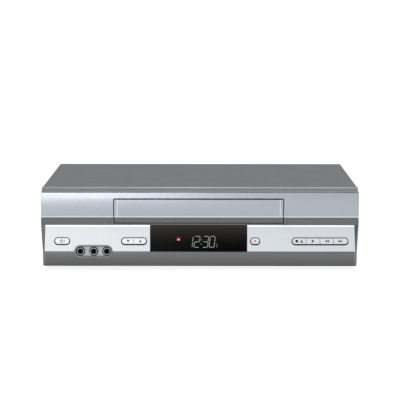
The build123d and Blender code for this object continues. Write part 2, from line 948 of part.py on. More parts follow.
with BuildPart() as front_jack_shells:
    for jack_x in jack_xs:
        with BuildSketch(plate_plane.offset(-shell_back)) as ring:
            with Locations((jack_x, recess_level)):
                Circle(shell_radius)
                Circle(shell_bore, mode=Mode.SUBTRACT)
        extrude(ring.sketch, amount=shell_back - shell_front)
save(front_jack_shells.part, "front_jack_shells")

with BuildPart() as front_jack_block:
    block_width = jack_xs[-1] - jack_xs[0] + 2 * jack_block_side
    block_shape = (recess_x, recess_level, block_width, jack_block_height, 0.8)
    plate_prism([block_shape], -board_offset, -shell_back)
    for jack_x in jack_xs:
        with BuildSketch(plate_plane.offset(-shell_back)) as core:
            with Locations((jack_x, recess_level)):
                Circle(shell_bore - running_gap)
        extrude(core.sketch, amount=jack_core_reach)
        with BuildSketch(plate_plane.offset(-board_offset + contact_floor)) as contact:
            with Locations((jack_x, recess_level)):
                Circle(contact_radius)
        extrude(contact.sketch, amount=board_offset, mode=Mode.SUBTRACT)
save(front_jack_block.part, "front_jack_block")

# ==== Cassette door ====
lip_depth = strip_setback + (plate_top_depth - strip_setback) * (fascia_foot - door_foot) / strip_height
with BuildPart() as cassette_door:
    with BuildSketch(Plane.YZ):
        Polygon(
            (y_at(door_skin), door_top),
            (y_at(door_thickness), door_top),
            (y_at(door_thickness), fascia_foot),
            (y_at(lip_depth + door_lip_thickness), door_foot),
            (y_at(lip_depth), door_foot),
            (y_at(strip_setback), fascia_foot),
            (y_at(door_skin), fascia_foot),
            align=None,
        )
    extrude(amount=door_width / 2, both=True)
    for side in (-1, 1):
        outer_x = side * door_width / 2
        inner_x = outer_x - side * ear_thickness
        with BuildSketch(Plane.YZ.offset(inner_x)) as ear:
            with BuildLine():
                Polyline(
                    (y_at(door_axis_depth - ear_radius), door_axis_z),
                    (y_at(door_axis_depth - ear_radius), door_top - ear_front_drop),
                    (y_at(door_axis_depth + ear_radius), door_top - ear_back_drop),
                    (y_at(door_axis_depth + ear_radius), door_axis_z),
                )
                ThreePointArc(
                    (y_at(door_axis_depth + ear_radius), door_axis_z),
                    (y_at(door_axis_depth), door_axis_z + ear_radius),
                    (y_at(door_axis_depth - ear_radius), door_axis_z),
                )
            make_face()
        extrude(ear.sketch, amount=side * ear_thickness)
        pin_end_x = outer_x + side * (door_gap + cheek_thickness - door_pin_gap)
        rod(
            (outer_x, y_at(door_axis_depth), door_axis_z),
            (pin_end_x, y_at(door_axis_depth), door_axis_z),
            door_pin_radius,
        )
save(cassette_door.part.moved(Location((deck_x, 0, 0))), "cassette_door")

with BuildPart() as door_fascia:
    with BuildSketch(Plane.YZ):
        with BuildLine():
            ThreePointArc(
                (y_at(band_depth(fascia_foot)), fascia_foot),
                (y_at(0), band_middle),
                (y_at(band_depth(door_top)), door_top),
            )
            Polyline(
                (y_at(band_depth(door_top)), door_top),
                (y_at(door_skin), door_top),
                (y_at(door_skin), fascia_foot),
                (y_at(band_depth(fascia_foot)), fascia_foot),
            )
        make_face()
    extrude(amount=door_width / 2, both=True)
    # Stepped-down ends beside the raised middle.
    with BuildSketch(Plane.XY.offset(fascia_foot - 1)):
        for side in (-1, 1):
            Polygon(
                (side * (door_width / 2 + 1), y_at(-1)),
                (side * (door_width / 2 + 1), y_at(door_skin_step + 0.25)),
                (side * (door_width / 2 - door_skin_margin), y_at(door_skin_step + 0.25)),
                (side * (door_width / 2 - 2 * door_skin_margin - 1), y_at(-0.45)),
                (side * (door_width / 2 - 2 * door_skin_margin - 1), y_at(-1)),
                align=None,
            )
    extrude(amount=fascia_height, mode=Mode.SUBTRACT)
save(door_fascia.part.moved(Location((deck_x, 0, 0))), "door_fascia")

# Leaf spring that shuts the door, fixed on the left cheek.
spring_x = deck_x - door_hole_half - cheek_thickness
with BuildPart() as door_spring:
    with BuildSketch(Plane.YZ.offset(spring_x)) as leaf:
        with BuildLine():
            leaf_line = FilletPolyline(
                (y_at(panel_depth - leaf_margin), door_foot + leaf_margin),
                (y_at(panel_depth - leaf_margin), door_axis_z - leaf_bend_drop),
                (y_at(door_axis_depth + ear_radius), door_axis_z - leaf_tip_drop),
                radius=leaf_bend,
            )
            offset(leaf_line, amount=leaf_thickness / 2)
        make_face()
    extrude(leaf.sketch, amount=-leaf_width)
save(door_spring.part, "door_spring")

# ==== Cassette loader ====
holder_inner = cassette_width / 2 + holder_clearance
holder_outer = holder_inner + sheet
carriage_inner = holder_outer + layer_gap
carriage_outer = carriage_inner + carriage_sheet
bracket_inner = carriage_outer + layer_gap
bracket_outer = bracket_inner + carriage_sheet
holder_pin_depths = tuple(holder_front_depth + inset for inset in holder_pin_insets)
carriage_end = carriage_start + carriage_length
carriage_pin_depths = (carriage_start + carriage_pin_inset, carriage_end - carriage_pin_inset)
pinion_radius = loader_teeth * gear_module / 2
pinion_depth = carriage_end + rack_tail / 2
pinion_z = rack_pitch_z - pinion_radius
rack_root_z = rack_pitch_z + gear_dedendum * gear_module
rack_tip_z = rack_pitch_z - gear_addendum * gear_module

with BuildPart() as cassette_holder:
    ledge_top = cassette_floor - cassette_play
    roof = cassette_top + holder_roof_gap
    holder_y = (y_at(holder_front_depth), y_at(holder_front_depth + holder_length))
    slab((-holder_outer, holder_outer), holder_y, (ledge_top - sheet, roof + sheet))
    cut_y = (holder_y[0] - 1, holder_y[1] + 1)
    slab((-holder_inner, holder_inner), cut_y, (ledge_top, roof), Mode.SUBTRACT)
    ledge_half = holder_inner - ledge_width
    slab((-ledge_half, ledge_half), cut_y, (ledge_top - sheet - 1, ledge_top), Mode.SUBTRACT)
    # Two roof windows with rounded outlines.
    with BuildSketch(Plane.XY.offset(roof - 1)) as roof_window:
        with Locations((0, y_at(holder_front_depth + holder_length / 2))):
            with GridLocations(holder_inner, 1, 2, 1):
                RectangleRounded(roof_window_width, roof_window_length, window_round)
    extrude(roof_window.sketch, amount=4, mode=Mode.SUBTRACT)
    # Stop tabs at the back and guide pins at the sides.
    for side in (-1, 1):
        tab_x = sorted((side * stop_tab[0], side * stop_tab[1]))
        slab(tab_x, (holder_y[1] - sheet, holder_y[1]), (roof - stop_tab_drop, roof))
        for pin_depth in holder_pin_depths:
            rod(
                (side * holder_outer, y_at(pin_depth), holder_pin_level),
                (side * (carriage_outer + pin_end), y_at(pin_depth), holder_pin_level),
                pin_radius,
            )
save(cassette_holder.part.moved(Location((deck_x, 0, 0))), "cassette_holder")

with BuildPart() as loader_carriage:
    for side in (-1, 1):
        tail = rack_tail if side > 0 else 0
        with BuildSketch(Plane.YZ.offset(side * carriage_inner)) as carriage_side:
            with BuildLine():
                Polyline(
                    (y_at(carriage_start), rack_root_z),
                    (y_at(carriage_end + tail), rack_root_z),
                    (y_at(carriage_end + tail), rack_root_z + rack_bar),
                    (y_at(carriage_end), rack_root_z + 2 * rack_bar),
                    (y_at(carriage_end), carriage_pin_level + carriage_shoulder_rise),
                    (y_at(carriage_end - carriage_shoulder), carriage_top),
                    (y_at(carriage_start + carriage_shoulder), carriage_top),
                    (y_at(carriage_start), carriage_pin_level + carriage_shoulder_rise),
                    close=True,
                )
            make_face()
            for pin_depth in holder_pin_depths:
                with Locations((y_at(pin_depth), holder_pin_level - loader_drop / 2)):
                    SlotOverall(
                        loader_drop + 2 * (pin_radius + slot_gap),
                        2 * (pin_radius + slot_gap),
                        rotation=90,
                        mode=Mode.SUBTRACT,
                    )
        extrude(carriage_side.sketch, amount=side * carriage_sheet)
        for pin_depth in carriage_pin_depths:
            rod(
                (side * carriage_outer, y_at(pin_depth), carriage_pin_level),
                (side * (bracket_outer + pin_end), y_at(pin_depth), carriage_pin_level),
                pin_radius,
            )
    bar_middle = y_at(carriage_start + carriage_length / 2)
    slab(
        (-carriage_inner, carriage_inner),
        (bar_middle - crossbar_width / 2, bar_middle + crossbar_width / 2),
        (carriage_top - carriage_sheet, carriage_top),
    )
    # Rack teeth below the right side, with a gap over the pinion.
    rack_step = math.pi * gear_module
    teeth_ahead = int((pinion_depth - carriage_start) / rack_step)
    teeth_behind = int(rack_tail / 2 / rack_step)
    with BuildSketch(Plane.YZ.offset(carriage_inner)) as rack:
        for number in range(teeth_ahead + teeth_behind):
            middle = y_at(pinion_depth + (number + 0.5 - teeth_ahead) * rack_step)
            Polygon(
                (middle - tooth_root_share * rack_step, rack_root_z),
                (middle - rack_tip_share * rack_step, rack_tip_z),
                (middle + rack_tip_share * rack_step, rack_tip_z),
                (middle + tooth_root_share * rack_step, rack_root_z),
                align=None,
            )
    extrude(rack.sketch, amount=carriage_sheet)
save(loader_carriage.part.moved(Location((deck_x, 0, 0))), "loader_carriage")

bracket_slot_low = y_at(carriage_pin_depths[0] - pin_radius - slot_gap)
bracket_slot_high = y_at(carriage_pin_depths[1] + loader_travel + pin_radius + slot_gap)
for side, bracket_name in ((-1, "left_loader_bracket"), (1, "right_loader_bracket")):
    with BuildPart() as bracket:
        with BuildSketch(Plane.YZ.offset(side * bracket_inner)) as wall:
            with BuildLine():
                Polyline(
                    (y_at(bracket_front), deck_top),
                    (y_at(bracket_back), deck_top),
                    (y_at(bracket_back), bracket_top - bracket_bevel),
                    (y_at(bracket_back - bracket_bevel), bracket_top),
                    (y_at(bracket_front + bracket_bevel), bracket_top),
                    (y_at(bracket_front), bracket_top - bracket_bevel),
                    close=True,
                )
            make_face()
            with Locations(((bracket_slot_low + bracket_slot_high) / 2, carriage_pin_level)):
                SlotOverall(
                    bracket_slot_high - bracket_slot_low,
                    2 * (pin_radius + slot_gap),
                    mode=Mode.SUBTRACT,
                )
            for window_depth, window_length in (
                (bracket_front + bracket_front_window[0], bracket_front_window[1]),
                (bracket_back - bracket_back_window[0], bracket_back_window[1]),
            ):
                with Locations((y_at(window_depth), bracket_window_level)):
                    RectangleRounded(
                        window_length,
                        bracket_window_height,
                        window_round,
                        mode=Mode.SUBTRACT,
                    )
            if side > 0:
                with Locations((y_at(pinion_depth), pinion_z)):
                    Circle(stud_radius + running_gap, mode=Mode.SUBTRACT)
        extrude(wall.sketch, amount=side * carriage_sheet)
        foot = sorted((side * bracket_outer, side * (deck_half - bracket_foot_margin)))
        slab(foot, (y_at(bracket_front), y_at(bracket_back)), (deck_top, deck_top + carriage_sheet))
    save(bracket.part.moved(Location((deck_x, 0, 0))), bracket_name)

with BuildPart() as loader_pinion:
    pinion_face = carriage_inner - pinion_side_gap
    with BuildSketch(Plane.YZ.offset(pinion_face)) as pinion_outline:
        with Locations((y_at(pinion_depth), pinion_z)):
            Polygon(*gear_points(loader_teeth, pinion_radius, math.pi / 2), align=None)
    extrude(pinion_outline.sketch, amount=bracket_inner - pinion_wall_gap - pinion_face)
    rod(
        (pinion_face, y_at(pinion_depth), pinion_z),
        (bracket_outer + pinion_stud_end, y_at(pinion_depth), pinion_z),
        stud_radius,
    )
save(loader_pinion.part.moved(Location((deck_x, 0, 0))), "loader_pinion")

# ==== Tape deck ====
drum_centre = deck(drum_x, drum_depth)
capstan = deck(capstan_x, capstan_depth)
pulley = deck(pulley_x, pulley_depth)
supply_axis = deck(-reel_spread, reel_depth)
takeup_axis = deck(reel_spread, reel_depth)
cam_axis = deck(*cam_centre)
pinch_axis = deck(*pinch_pivot)
tension_axis = deck(*tension_pivot)
cam_radius = cam_teeth * gear_module / 2
motor_radius = motor_teeth * gear_module / 2
motor_axis = (cam_axis[0], cam_axis[1] + cam_radius + motor_radius)
running_radius = stud_radius + running_gap
guide_run = math.hypot(guide_end[0] - guide_start[0], guide_end[1] - guide_start[1])


def guide_plane(side, share, z):
    """Plane on a tape guide's track, its X along the track, at a share of the way up it."""
    x = drum_x + side * (guide_start[0] + share * (guide_end[0] - guide_start[0]))
    depth = guide_start[1] + share * (guide_end[1] - guide_start[1])
    along = (side * (guide_end[0] - guide_start[0]), guide_end[1] - guide_start[1], 0)
    return Plane(origin=(*deck(x, depth), z), x_dir=along, z_dir=(0, 0, 1))


with BuildPart() as deck_plate:
    with BuildSketch(Plane.XY.offset(deck_floor)):
        with Locations((deck_x, y_at((deck_front + deck_back) / 2))):
            RectangleRounded(2 * deck_half, deck_back - deck_front, deck_corner)
        with Locations(capstan):
            Circle(hub_radius + housing_hole_gap, mode=Mode.SUBTRACT)
        with Locations(pulley):
            Circle(running_radius, mode=Mode.SUBTRACT)
        with Locations(deck(0, front_window[0])):
            RectangleRounded(front_window[1], front_window[2], deck_window_round, mode=Mode.SUBTRACT)
        with Locations(deck(-side_window[0], side_window[1]), deck(side_window[0], side_window[1])):
            RectangleRounded(side_window[2], side_window[3], deck_window_round, mode=Mode.SUBTRACT)
    extrude(amount=deck_sheet)
    for side in (-1, 1):
        with BuildSketch(guide_plane(side, 0.5, deck_floor - 1)) as track:
            SlotOverall(
                guide_run + keel_length + 2 * track_end_gap,
                keel_width + 2 * track_side_gap,
            )
        extrude(track.sketch, amount=deck_sheet + 2, mode=Mode.SUBTRACT)
    for axis, stud_rise in (
        (supply_axis, reel_stud_rise),
        (takeup_axis, reel_stud_rise),
        (cam_axis, cam_stud_rise),
        (pinch_axis, pinch_stud_rise),
        (tension_axis, tension_stud_rise),
    ):
        post(axis, (deck_top, deck_top + stud_rise), stud_radius)
save(deck_plate.part, "deck_plate")

# ---- Scanner drum, leaning on its foot ----
drum_base = deck_top + drum_lift
drum_plane = Plane(
    origin=(*drum_centre, drum_base),
    x_dir=(1, 0, 0),
    z_dir=(0, math.sin(math.radians(drum_tilt)), math.cos(math.radians(drum_tilt))),
)
upper_foot = lower_drum_height + drum_slit
with BuildPart() as lower_drum:
    post(drum_centre, (deck_top, drum_base + drum_foot_sink), drum_radius - drum_foot_step)
    with BuildSketch(drum_plane) as shell:
        Circle(drum_radius)
    extrude(shell.sketch, amount=lower_drum_height)
    with BuildSketch(drum_plane.offset(lower_drum_height - drum_cavity)) as cavity:
        Circle(drum_radius - drum_wall)
        Circle(drum_core, mode=Mode.SUBTRACT)
    extrude(cavity.sketch, amount=drum_cavity + 1, mode=Mode.SUBTRACT)
    with BuildSketch(drum_plane.offset(shaft_foot - shaft_end)) as shaft_hole:
        Circle(drum_shaft_radius + running_gap)
    extrude(shaft_hole.sketch, amount=lower_drum_height, mode=Mode.SUBTRACT)
save(lower_drum.part, "lower_drum")

with BuildPart() as upper_drum:
    with BuildSketch(drum_plane.offset(upper_foot)) as rotor:
        Circle(drum_radius)
    extrude(rotor.sketch, amount=upper_drum_height)
    with BuildSketch(drum_plane.offset(upper_foot + upper_drum_height - rotor_dish)) as top_ring:
        Circle(drum_radius - rotor_rim)
        Circle(rotor_core, mode=Mode.SUBTRACT)
    extrude(top_ring.sketch, amount=rotor_dish + 1, mode=Mode.SUBTRACT)
    with BuildSketch(drum_plane.offset(upper_foot)) as head_windows:
        with PolarLocations(drum_radius, head_count, start_angle=45):
            Rectangle(head_window, head_window)
    extrude(head_windows.sketch, amount=head_window_height, mode=Mode.SUBTRACT)
    with BuildSketch(drum_plane.offset(shaft_foot)) as drum_shaft:
        Circle(drum_shaft_radius)
    extrude(drum_shaft.sketch, amount=upper_foot + upper_drum_height + shaft_end)
save(upper_drum.part, "upper_drum")

# ---- Capstan ----
housing_foot = flywheel_z[1] + housing_gap
with BuildPart() as capstan_housing:
    with BuildSketch(Plane.XY.offset(housing_foot)) as housing_plate:
        with Locations(capstan):
            RectangleRounded(housing_size, housing_size, housing_corner)
    extrude(housing_plate.sketch, amount=deck_floor - housing_foot)
    post(capstan, (deck_floor - 1, sleeve_top), hub_radius)
    post(capstan, (flywheel_z[1], sleeve_top + 1), capstan_radius + running_gap, Mode.SUBTRACT)
save(capstan_housing.part, "capstan_housing")

with BuildPart() as capstan_flywheel:
    post(capstan, flywheel_z, flywheel_radius)
    with BuildSketch(Plane.XY.offset(flywheel_z[1] - flywheel_dish)) as dish_ring:
        with Locations(capstan):
            Circle(flywheel_radius - flywheel_rim)
            Circle(flywheel_core, mode=Mode.SUBTRACT)
    extrude(dish_ring.sketch, amount=flywheel_dish + 1, mode=Mode.SUBTRACT)
    post(capstan, pulley_z, capstan_pulley_radius)
    post(capstan, (pulley_z[0], deck_top + capstan_rise), capstan_radius)
save(capstan_flywheel.part, "capstan_flywheel")

# ---- Reel drive ----
with BuildPart() as centre_pulley:
    post(pulley, pulley_z, centre_pulley_radius)
    post(pulley, (pulley_z[0], wheel_z[1] + shaft_end), stud_radius)
    post(pulley, wheel_z, hub_radius)
save(centre_pulley.part, "centre_pulley")

belt_bores = (capstan_pulley_radius + belt_gap, centre_pulley_radius + belt_gap)
belt_rims = tuple(bore + belt_thickness for bore in belt_bores)
with BuildPart() as reel_belt:
    link(capstan, pulley, belt_rims, belt_z)
    link(capstan, pulley, belt_bores, belt_z, Mode.SUBTRACT)
save(reel_belt.part, "reel_belt")

idler_axis = (pulley[0], pulley[1] - hub_radius - idler_radius - fit_gap)
with BuildPart() as idler_arm:
    link(pulley, idler_axis, (arm_pivot_radius, arm_tip_radius), arm_z)
    post(pulley, (arm_z[0] - 1, arm_z[1] + 1), running_radius, Mode.SUBTRACT)
    post(idler_axis, (arm_z[0], wheel_z[1] + 1), axle_radius)
save(idler_arm.part, "idler_arm")

with BuildPart() as idler_wheel:
    post(idler_axis, wheel_z, idler_radius)
    post(idler_axis, (wheel_z[1] - idler_dish, wheel_z[1]), idler_radius - idler_rim, Mode.SUBTRACT)
    post(idler_axis, (wheel_z[0] - 1, wheel_z[1] + 1), axle_radius + running_gap, Mode.SUBTRACT)
save(idler_wheel.part, "idler_wheel")

for axis, reel_name in ((supply_axis, "supply_reel"), (takeup_axis, "takeup_reel")):
    with BuildPart() as reel:
        for step, step_radius in enumerate(
            (reel_foot_radius, reel_radius, reel_step_radius, reel_hub_radius)
        ):
            post(axis, (reel_z[step], reel_z[step + 1]), step_radius)
        for turn in range(reel_key_count):
            angle = 2 * math.pi * turn / reel_key_count + math.pi / 2
            middle = (
                axis[0] + reel_key_length * math.cos(angle),
                axis[1] + reel_key_length * math.sin(angle),
                deck_top + reel_key_rise,
            )
            with Locations(Location(middle, (0, 0, math.degrees(angle)))):
                Box(reel_key_length, reel_key_width, reel_key_height)
        post(axis, (reel_z[0] - 1, reel_z[-1] + 1), running_radius, Mode.SUBTRACT)
    save(reel.part, reel_name)

# ---- Tape guides, heads and the tension arm ----
for side, guide_name in ((-1, "supply_guide"), (1, "takeup_guide")):
    with BuildPart() as guide:
        with BuildSketch(guide_plane(side, 0, guide_z[0])) as shoe:
            RectangleRounded(shoe_length, shoe_width, shoe_corner)
        extrude(shoe.sketch, amount=shoe_height)
        with BuildSketch(guide_plane(side, 0, deck_floor - 1)) as keel:
            SlotOverall(keel_length, keel_width)
        extrude(keel.sketch, amount=guide_z[0] - deck_floor + 1 + shoe_height / 2)
        stand = guide_plane(side, 0, guide_z[1])
        along, roller_size, roller_rise = guide_roller
        cap_size, cap_rise = guide_cap
        roller_foot = stand.from_local_coords((along, 0, 0))
        roller_place = (roller_foot.X, roller_foot.Y)
        post(roller_place, (guide_z[1], deck_top + roller_rise), roller_size)
        post(roller_place, (deck_top + roller_rise, deck_top + cap_rise), cap_size)
        slant_foot = stand.from_local_coords((slant_start[0], 0, slant_start[1]))
        slant_top = stand.from_local_coords((slant_end[0], 0, slant_end[1]))
        rod(tuple(slant_foot), tuple(slant_top), slant_radius)
    save(guide.part, guide_name)


def pinch_point(angle):
    """Centre of the pinch roller with its arm at an angle."""
    turn = math.radians(angle)
    across = pinch_length * math.cos(turn)
    along = pinch_length * math.sin(turn)
    return (pinch_axis[0] + across, pinch_axis[1] + along)


roller_rest = pinch_point(pinch_rest_angle)
with BuildPart() as pinch_arm:
    link(
        pinch_axis,
        roller_rest,
        (arm_pivot_radius, arm_tip_radius),
        (arm_z[0], arm_z[0] + pinch_sheet),
    )
    post(roller_rest, (arm_z[0], roller_z[0] - roller_end_gap), pinch_boss_radius)
    post(roller_rest, (arm_z[0], roller_z[1] + pinch_axle_end), axle_radius)
    post(pinch_axis, (deck_top, arm_z[0] + pinch_sheet + 1), running_radius, Mode.SUBTRACT)
save(pinch_arm.part, "pinch_arm")

with BuildPart() as pinch_roller:
    post(roller_rest, roller_z, roller_radius)
    post(roller_rest, (roller_z[0] - 1, roller_z[1] + 1), axle_radius + running_gap, Mode.SUBTRACT)
save(pinch_roller.part, "pinch_roller")

with BuildPart() as audio_head:
    base_width, base_length, base_height = audio_base
    head = deck(*audio_place)
    slab(
        (head[0] - base_width / 2, head[0] + base_width / 2),
        (head[1] - base_length / 2, head[1] + base_length / 2),
        (deck_top, deck_top + base_height),
    )
    with BuildSketch(Plane.XY.offset(deck_top + base_height)) as head_core:
        with Locations(head):
            RectangleRounded(audio_size[0], audio_size[1], head_corner)
    extrude(head_core.sketch, amount=audio_size[2])
save(audio_head.part, "audio_head")

with BuildPart() as erase_head:
    with BuildSketch(Plane.XY.offset(deck_top)) as erase_core:
        with Locations(deck(*erase_place)):
            RectangleRounded(erase_size[0], erase_size[1], head_corner)
    extrude(erase_core.sketch, amount=erase_size[2])
save(erase_head.part, "erase_head")

tension_turn = math.radians(tension_rest_angle)
tension_tip = (
    tension_axis[0] + tension_length * math.cos(tension_turn),
    tension_axis[1] + tension_length * math.sin(tension_turn),
)
with BuildPart() as tension_arm:
    link(tension_axis, tension_tip, (arm_pivot_radius, tension_tip_radius), arm_z)
    post(tension_tip, (arm_z[0], deck_top + tension_post_rise), tension_post_radius)
    post(tension_axis, (arm_z[0] - 1, arm_z[1] + 1), running_radius, Mode.SUBTRACT)
save(tension_arm.part, "tension_arm")

# ---- Mode drive ----
with BuildPart() as cam_gear:
    with BuildSketch(Plane.XY.offset(gear_z[0])) as cam_outline:
        with Locations(cam_axis):
            Polygon(*gear_points(cam_teeth, cam_radius, math.pi / 2), align=None)
    extrude(cam_outline.sketch, amount=cam_thickness)
    post(cam_axis, (deck_top + cam_collar_gap, gear_z[0]), cam_collar_radius)
    track_shift, track_inner, track_outer, track_depth = cam_track
    with BuildSketch(Plane.XY.offset(gear_z[1] - track_depth)) as groove:
        with Locations((cam_axis[0] + track_shift, cam_axis[1])):
            Circle(track_outer)
            Circle(track_inner, mode=Mode.SUBTRACT)
    extrude(groove.sketch, amount=track_depth + 1, mode=Mode.SUBTRACT)
    post(cam_axis, (deck_top, gear_z[1] + 1), running_radius, Mode.SUBTRACT)
save(cam_gear.part, "cam_gear")

shaft_top = motor_plate_z[1] + motor_shaft_end
with BuildPart() as motor_pinion:
    with BuildSketch(Plane.XY.offset(gear_z[0])) as motor_outline:
        with Locations(motor_axis):
            gap_angle = -math.pi / 2 + math.pi / motor_teeth
            Polygon(*gear_points(motor_teeth, motor_radius, gap_angle), align=None)
    extrude(motor_outline.sketch, amount=cam_thickness + 1)
    post(motor_axis, (gear_z[0], shaft_top), motor_shaft_radius)
save(motor_pinion.part, "motor_pinion")

with BuildPart() as loading_motor:
    post(motor_axis, (motor_plate_z[1], motor_plate_z[1] + motor_length), motor_can_radius)
    plate_half, plate_front, plate_back = motor_plate
    slab(
        (motor_axis[0] - plate_half, motor_axis[0] + plate_half),
        (motor_axis[1] - plate_front, motor_axis[1] + plate_back),
        motor_plate_z,
    )
    post_spread, post_back, post_radius = motor_post
    for side in (-1, 1):
        post_place = (motor_axis[0] + side * post_spread, motor_axis[1] + post_back)
        post(post_place, (deck_top, motor_plate_z[0]), post_radius)
    bore_radius = motor_shaft_radius + running_gap
    post(motor_axis, (motor_plate_z[0] - 1, shaft_top + 1), bore_radius, Mode.SUBTRACT)
save(loading_motor.part, "loading_motor")

# ==== Cover, chassis, feet and back ====
with BuildPart() as top_cover:
    cover_height = body_height - cover_foot
    with BuildSketch(Plane.XZ.offset(-rear_y)):
        with Locations((0, cover_foot)):
            RectangleRounded(2 * cover_half, 2 * cover_height, cover_bend)
            inner_width = 2 * (cover_half - cover_sheet)
            RectangleRounded(
                inner_width,
                2 * (cover_height - cover_sheet),
                cover_bend - cover_sheet,
                mode=Mode.SUBTRACT,
            )
            Rectangle(
                2 * cover_half,
                cover_height + 1,
                align=(Align.CENTER, Align.MAX),
                mode=Mode.SUBTRACT,
            )
    extrude(amount=cover_depth)
    slab(
        (-cover_half + cover_bend, cover_half - cover_bend),
        (rear_face, rear_y),
        (body_height - cover_lip, body_height - cover_sheet / 2),
    )
    with BuildSketch(Plane.YZ):
        with Locations((rear_y - louvre_back, louvre_level)):
            with GridLocations(louvre_pitch, 1, louvre_count, 1):
                Rectangle(louvre_width, louvre_height)
    extrude(amount=half_width, both=True, mode=Mode.SUBTRACT)
    for depth in screw_depths:
        rod(
            (-half_width, y_at(depth), screw_level),
            (half_width, y_at(depth), screw_level),
            screw_radius + screw_hole_gap,
            Mode.SUBTRACT,
        )
    for x in rear_screw_xs:
        rear_hole = ((x, rear_face - 1, rear_level), (x, rear_y + 1, rear_level))
        rod(*rear_hole, screw_radius + screw_hole_gap, Mode.SUBTRACT)
save(top_cover.part, "top_cover")

with BuildPart() as cover_screws:
    for side in (-1, 1):
        for depth in screw_depths:
            outside = side * cover_half
            head_top = side * (half_width - side_head_margin)
            inside = side * (cover_half - cover_sheet - chassis_wall - screw_inner_reach)
            rod((inside, y_at(depth), screw_level), (outside, y_at(depth), screw_level), screw_radius)
            rod((outside, y_at(depth), screw_level), (head_top, y_at(depth), screw_level), screw_head)
    for x in rear_screw_xs:
        screw_end = rear_inside - rear_screw_reach
        rod((x, screw_end, rear_level), (x, rear_y, rear_level), screw_radius)
        rod((x, rear_y, rear_level), (x, rear_y + screw_head_height, rear_level), screw_head)
save(cover_screws.part, "cover_screws")

with BuildPart() as bottom_chassis:
    slab((-chassis_half, chassis_half), (y_at(panel_depth), rear_inside), (foot_height, chassis_top))
    for side in (-1, 1):
        slab(
            sorted((side * case_inside, side * chassis_half)),
            (y_at(panel_depth), rear_inside),
            (chassis_top, chassis_top + chassis_wall_height),
        )
    # Tongues that hold the front panel.
    for x in tongue_xs:
        tongue_x = (x - tongue_half, x + tongue_half)
        tongue_back = y_at(panel_depth + tongue_reach)
        slab(tongue_x, (y_at(panel_depth - tongue_reach), tongue_back), (tongue_floor, tongue_top))
        slab(tongue_x, (y_at(panel_depth), tongue_back), (chassis_top, tongue_floor))
    # Deck posts and board rests.
    for depth in boss_depths:
        for side in (-1, 1):
            post(deck(side * boss_x, depth), (chassis_top, deck_floor), boss_radius)
    for side in (-1, 1):
        for depth in rest_depths:
            rest_x = side * (half_width - rest_margin)
            post((rest_x, y_at(depth)), (chassis_top, board_level), rest_radius)
    with BuildSketch(Plane.XY.offset(foot_height - 1)) as vents:
        with Locations((-vent_spread, y_at(vent_depth)), (vent_spread, y_at(vent_depth))):
            with GridLocations(vent_pitch, 1, vent_count, 1):
                Rectangle(vent_width, vent_length)
    extrude(vents.sketch, amount=chassis_floor + 2, mode=Mode.SUBTRACT)
    for depth in screw_depths:
        rod(
            (-half_width, y_at(depth), screw_level),
            (half_width, y_at(depth), screw_level),
            screw_radius + running_gap,
            Mode.SUBTRACT,
        )
save(bottom_chassis.part, "bottom_chassis")

with BuildPart() as feet:
    for side in (-1, 1):
        for depth in foot_depths:
            post((side * foot_spread, y_at(depth)), (0, foot_height), foot_radius)
    chamfer(feet.edges().group_by(Axis.Z)[0], foot_edge)
save(feet.part, "feet")

jack_grid = []
for column in (-1, 1):
    for row in (-1, 0, 1):
        jack_grid.append((jack_column_x + column * jack_pitch / 2, jack_rows_middle + row * jack_row_pitch))

with BuildPart() as rear_panel:
    with BuildSketch(Plane.XZ.offset(-rear_face)) as back_outline:
        with Locations((0, foot_height)):
            back_height = body_height - cover_sheet - cover_fit - foot_height
            Rectangle(2 * chassis_half, back_height, align=(Align.CENTER, Align.MIN))
        fillet(back_outline.vertices().group_by(Axis.Y)[-1], cover_bend)
    extrude(amount=rear_wall)
    with BuildSketch(Plane.XZ.offset(-rear_face - 1)) as back_cuts:
        for level in aerial_levels:
            with Locations((tuner_x, level)):
                Circle(aerial_radius + socket_gap)
        for x, level in jack_grid:
            with Locations((x, level)):
                Circle(shell_radius + socket_gap)
        with Locations((gland_x, gland_level)):
            Circle(gland_radius)
        with Locations((gland_x, rear_slot_level)):
            with GridLocations(rear_slot_pitch, 1, rear_slot_count, 1):
                Rectangle(rear_slot_width, rear_slot_height)
        for x in rear_screw_xs:
            with Locations((x, rear_level)):
                Circle(screw_radius + running_gap)
    extrude(back_cuts.sketch, amount=rear_wall + 2, mode=Mode.SUBTRACT)
save(rear_panel.part, "rear_panel")

# ==== Electronics ====
board_top = board_level + board_thickness
board_half = case_inside - main_board_gap
deck_edge = deck_x + deck_half
with BuildPart() as main_board:
    board_y = (y_at(main_board_front), rear_inside - main_board_back_gap)
    slab((-board_half, board_half), board_y, (board_level, board_top))
    for depth in boss_depths:
        for side in (-1, 1):
            notch_radius = boss_radius + main_board_notch
            post(deck(side * boss_x, depth), (board_level - 1, board_top + 1), notch_radius, Mode.SUBTRACT)
save(main_board.part, "main_board")

with BuildPart() as power_transformer:
    transformer_x = case_inside - side_clearance - core_width / 2
    with Locations((transformer_x, y_at(transformer_depth), board_top + core_height / 2)):
        Box(core_width, core_length, core_height)
        Box(coil_width, coil_length, coil_height)
save(power_transformer.part, "power_transformer")

with BuildPart() as filter_capacitors:
    radius, height, depth = big_capacitor
    big_x = case_inside - side_clearance - radius
    post((big_x, y_at(depth)), (board_top, board_top + height), radius)
    for radius, height, depth in small_capacitors:
        small_x = deck_edge + deck_clearance + radius
        post((small_x, y_at(depth)), (board_top, board_top + height), radius)
save(filter_capacitors.part, "filter_capacitors")

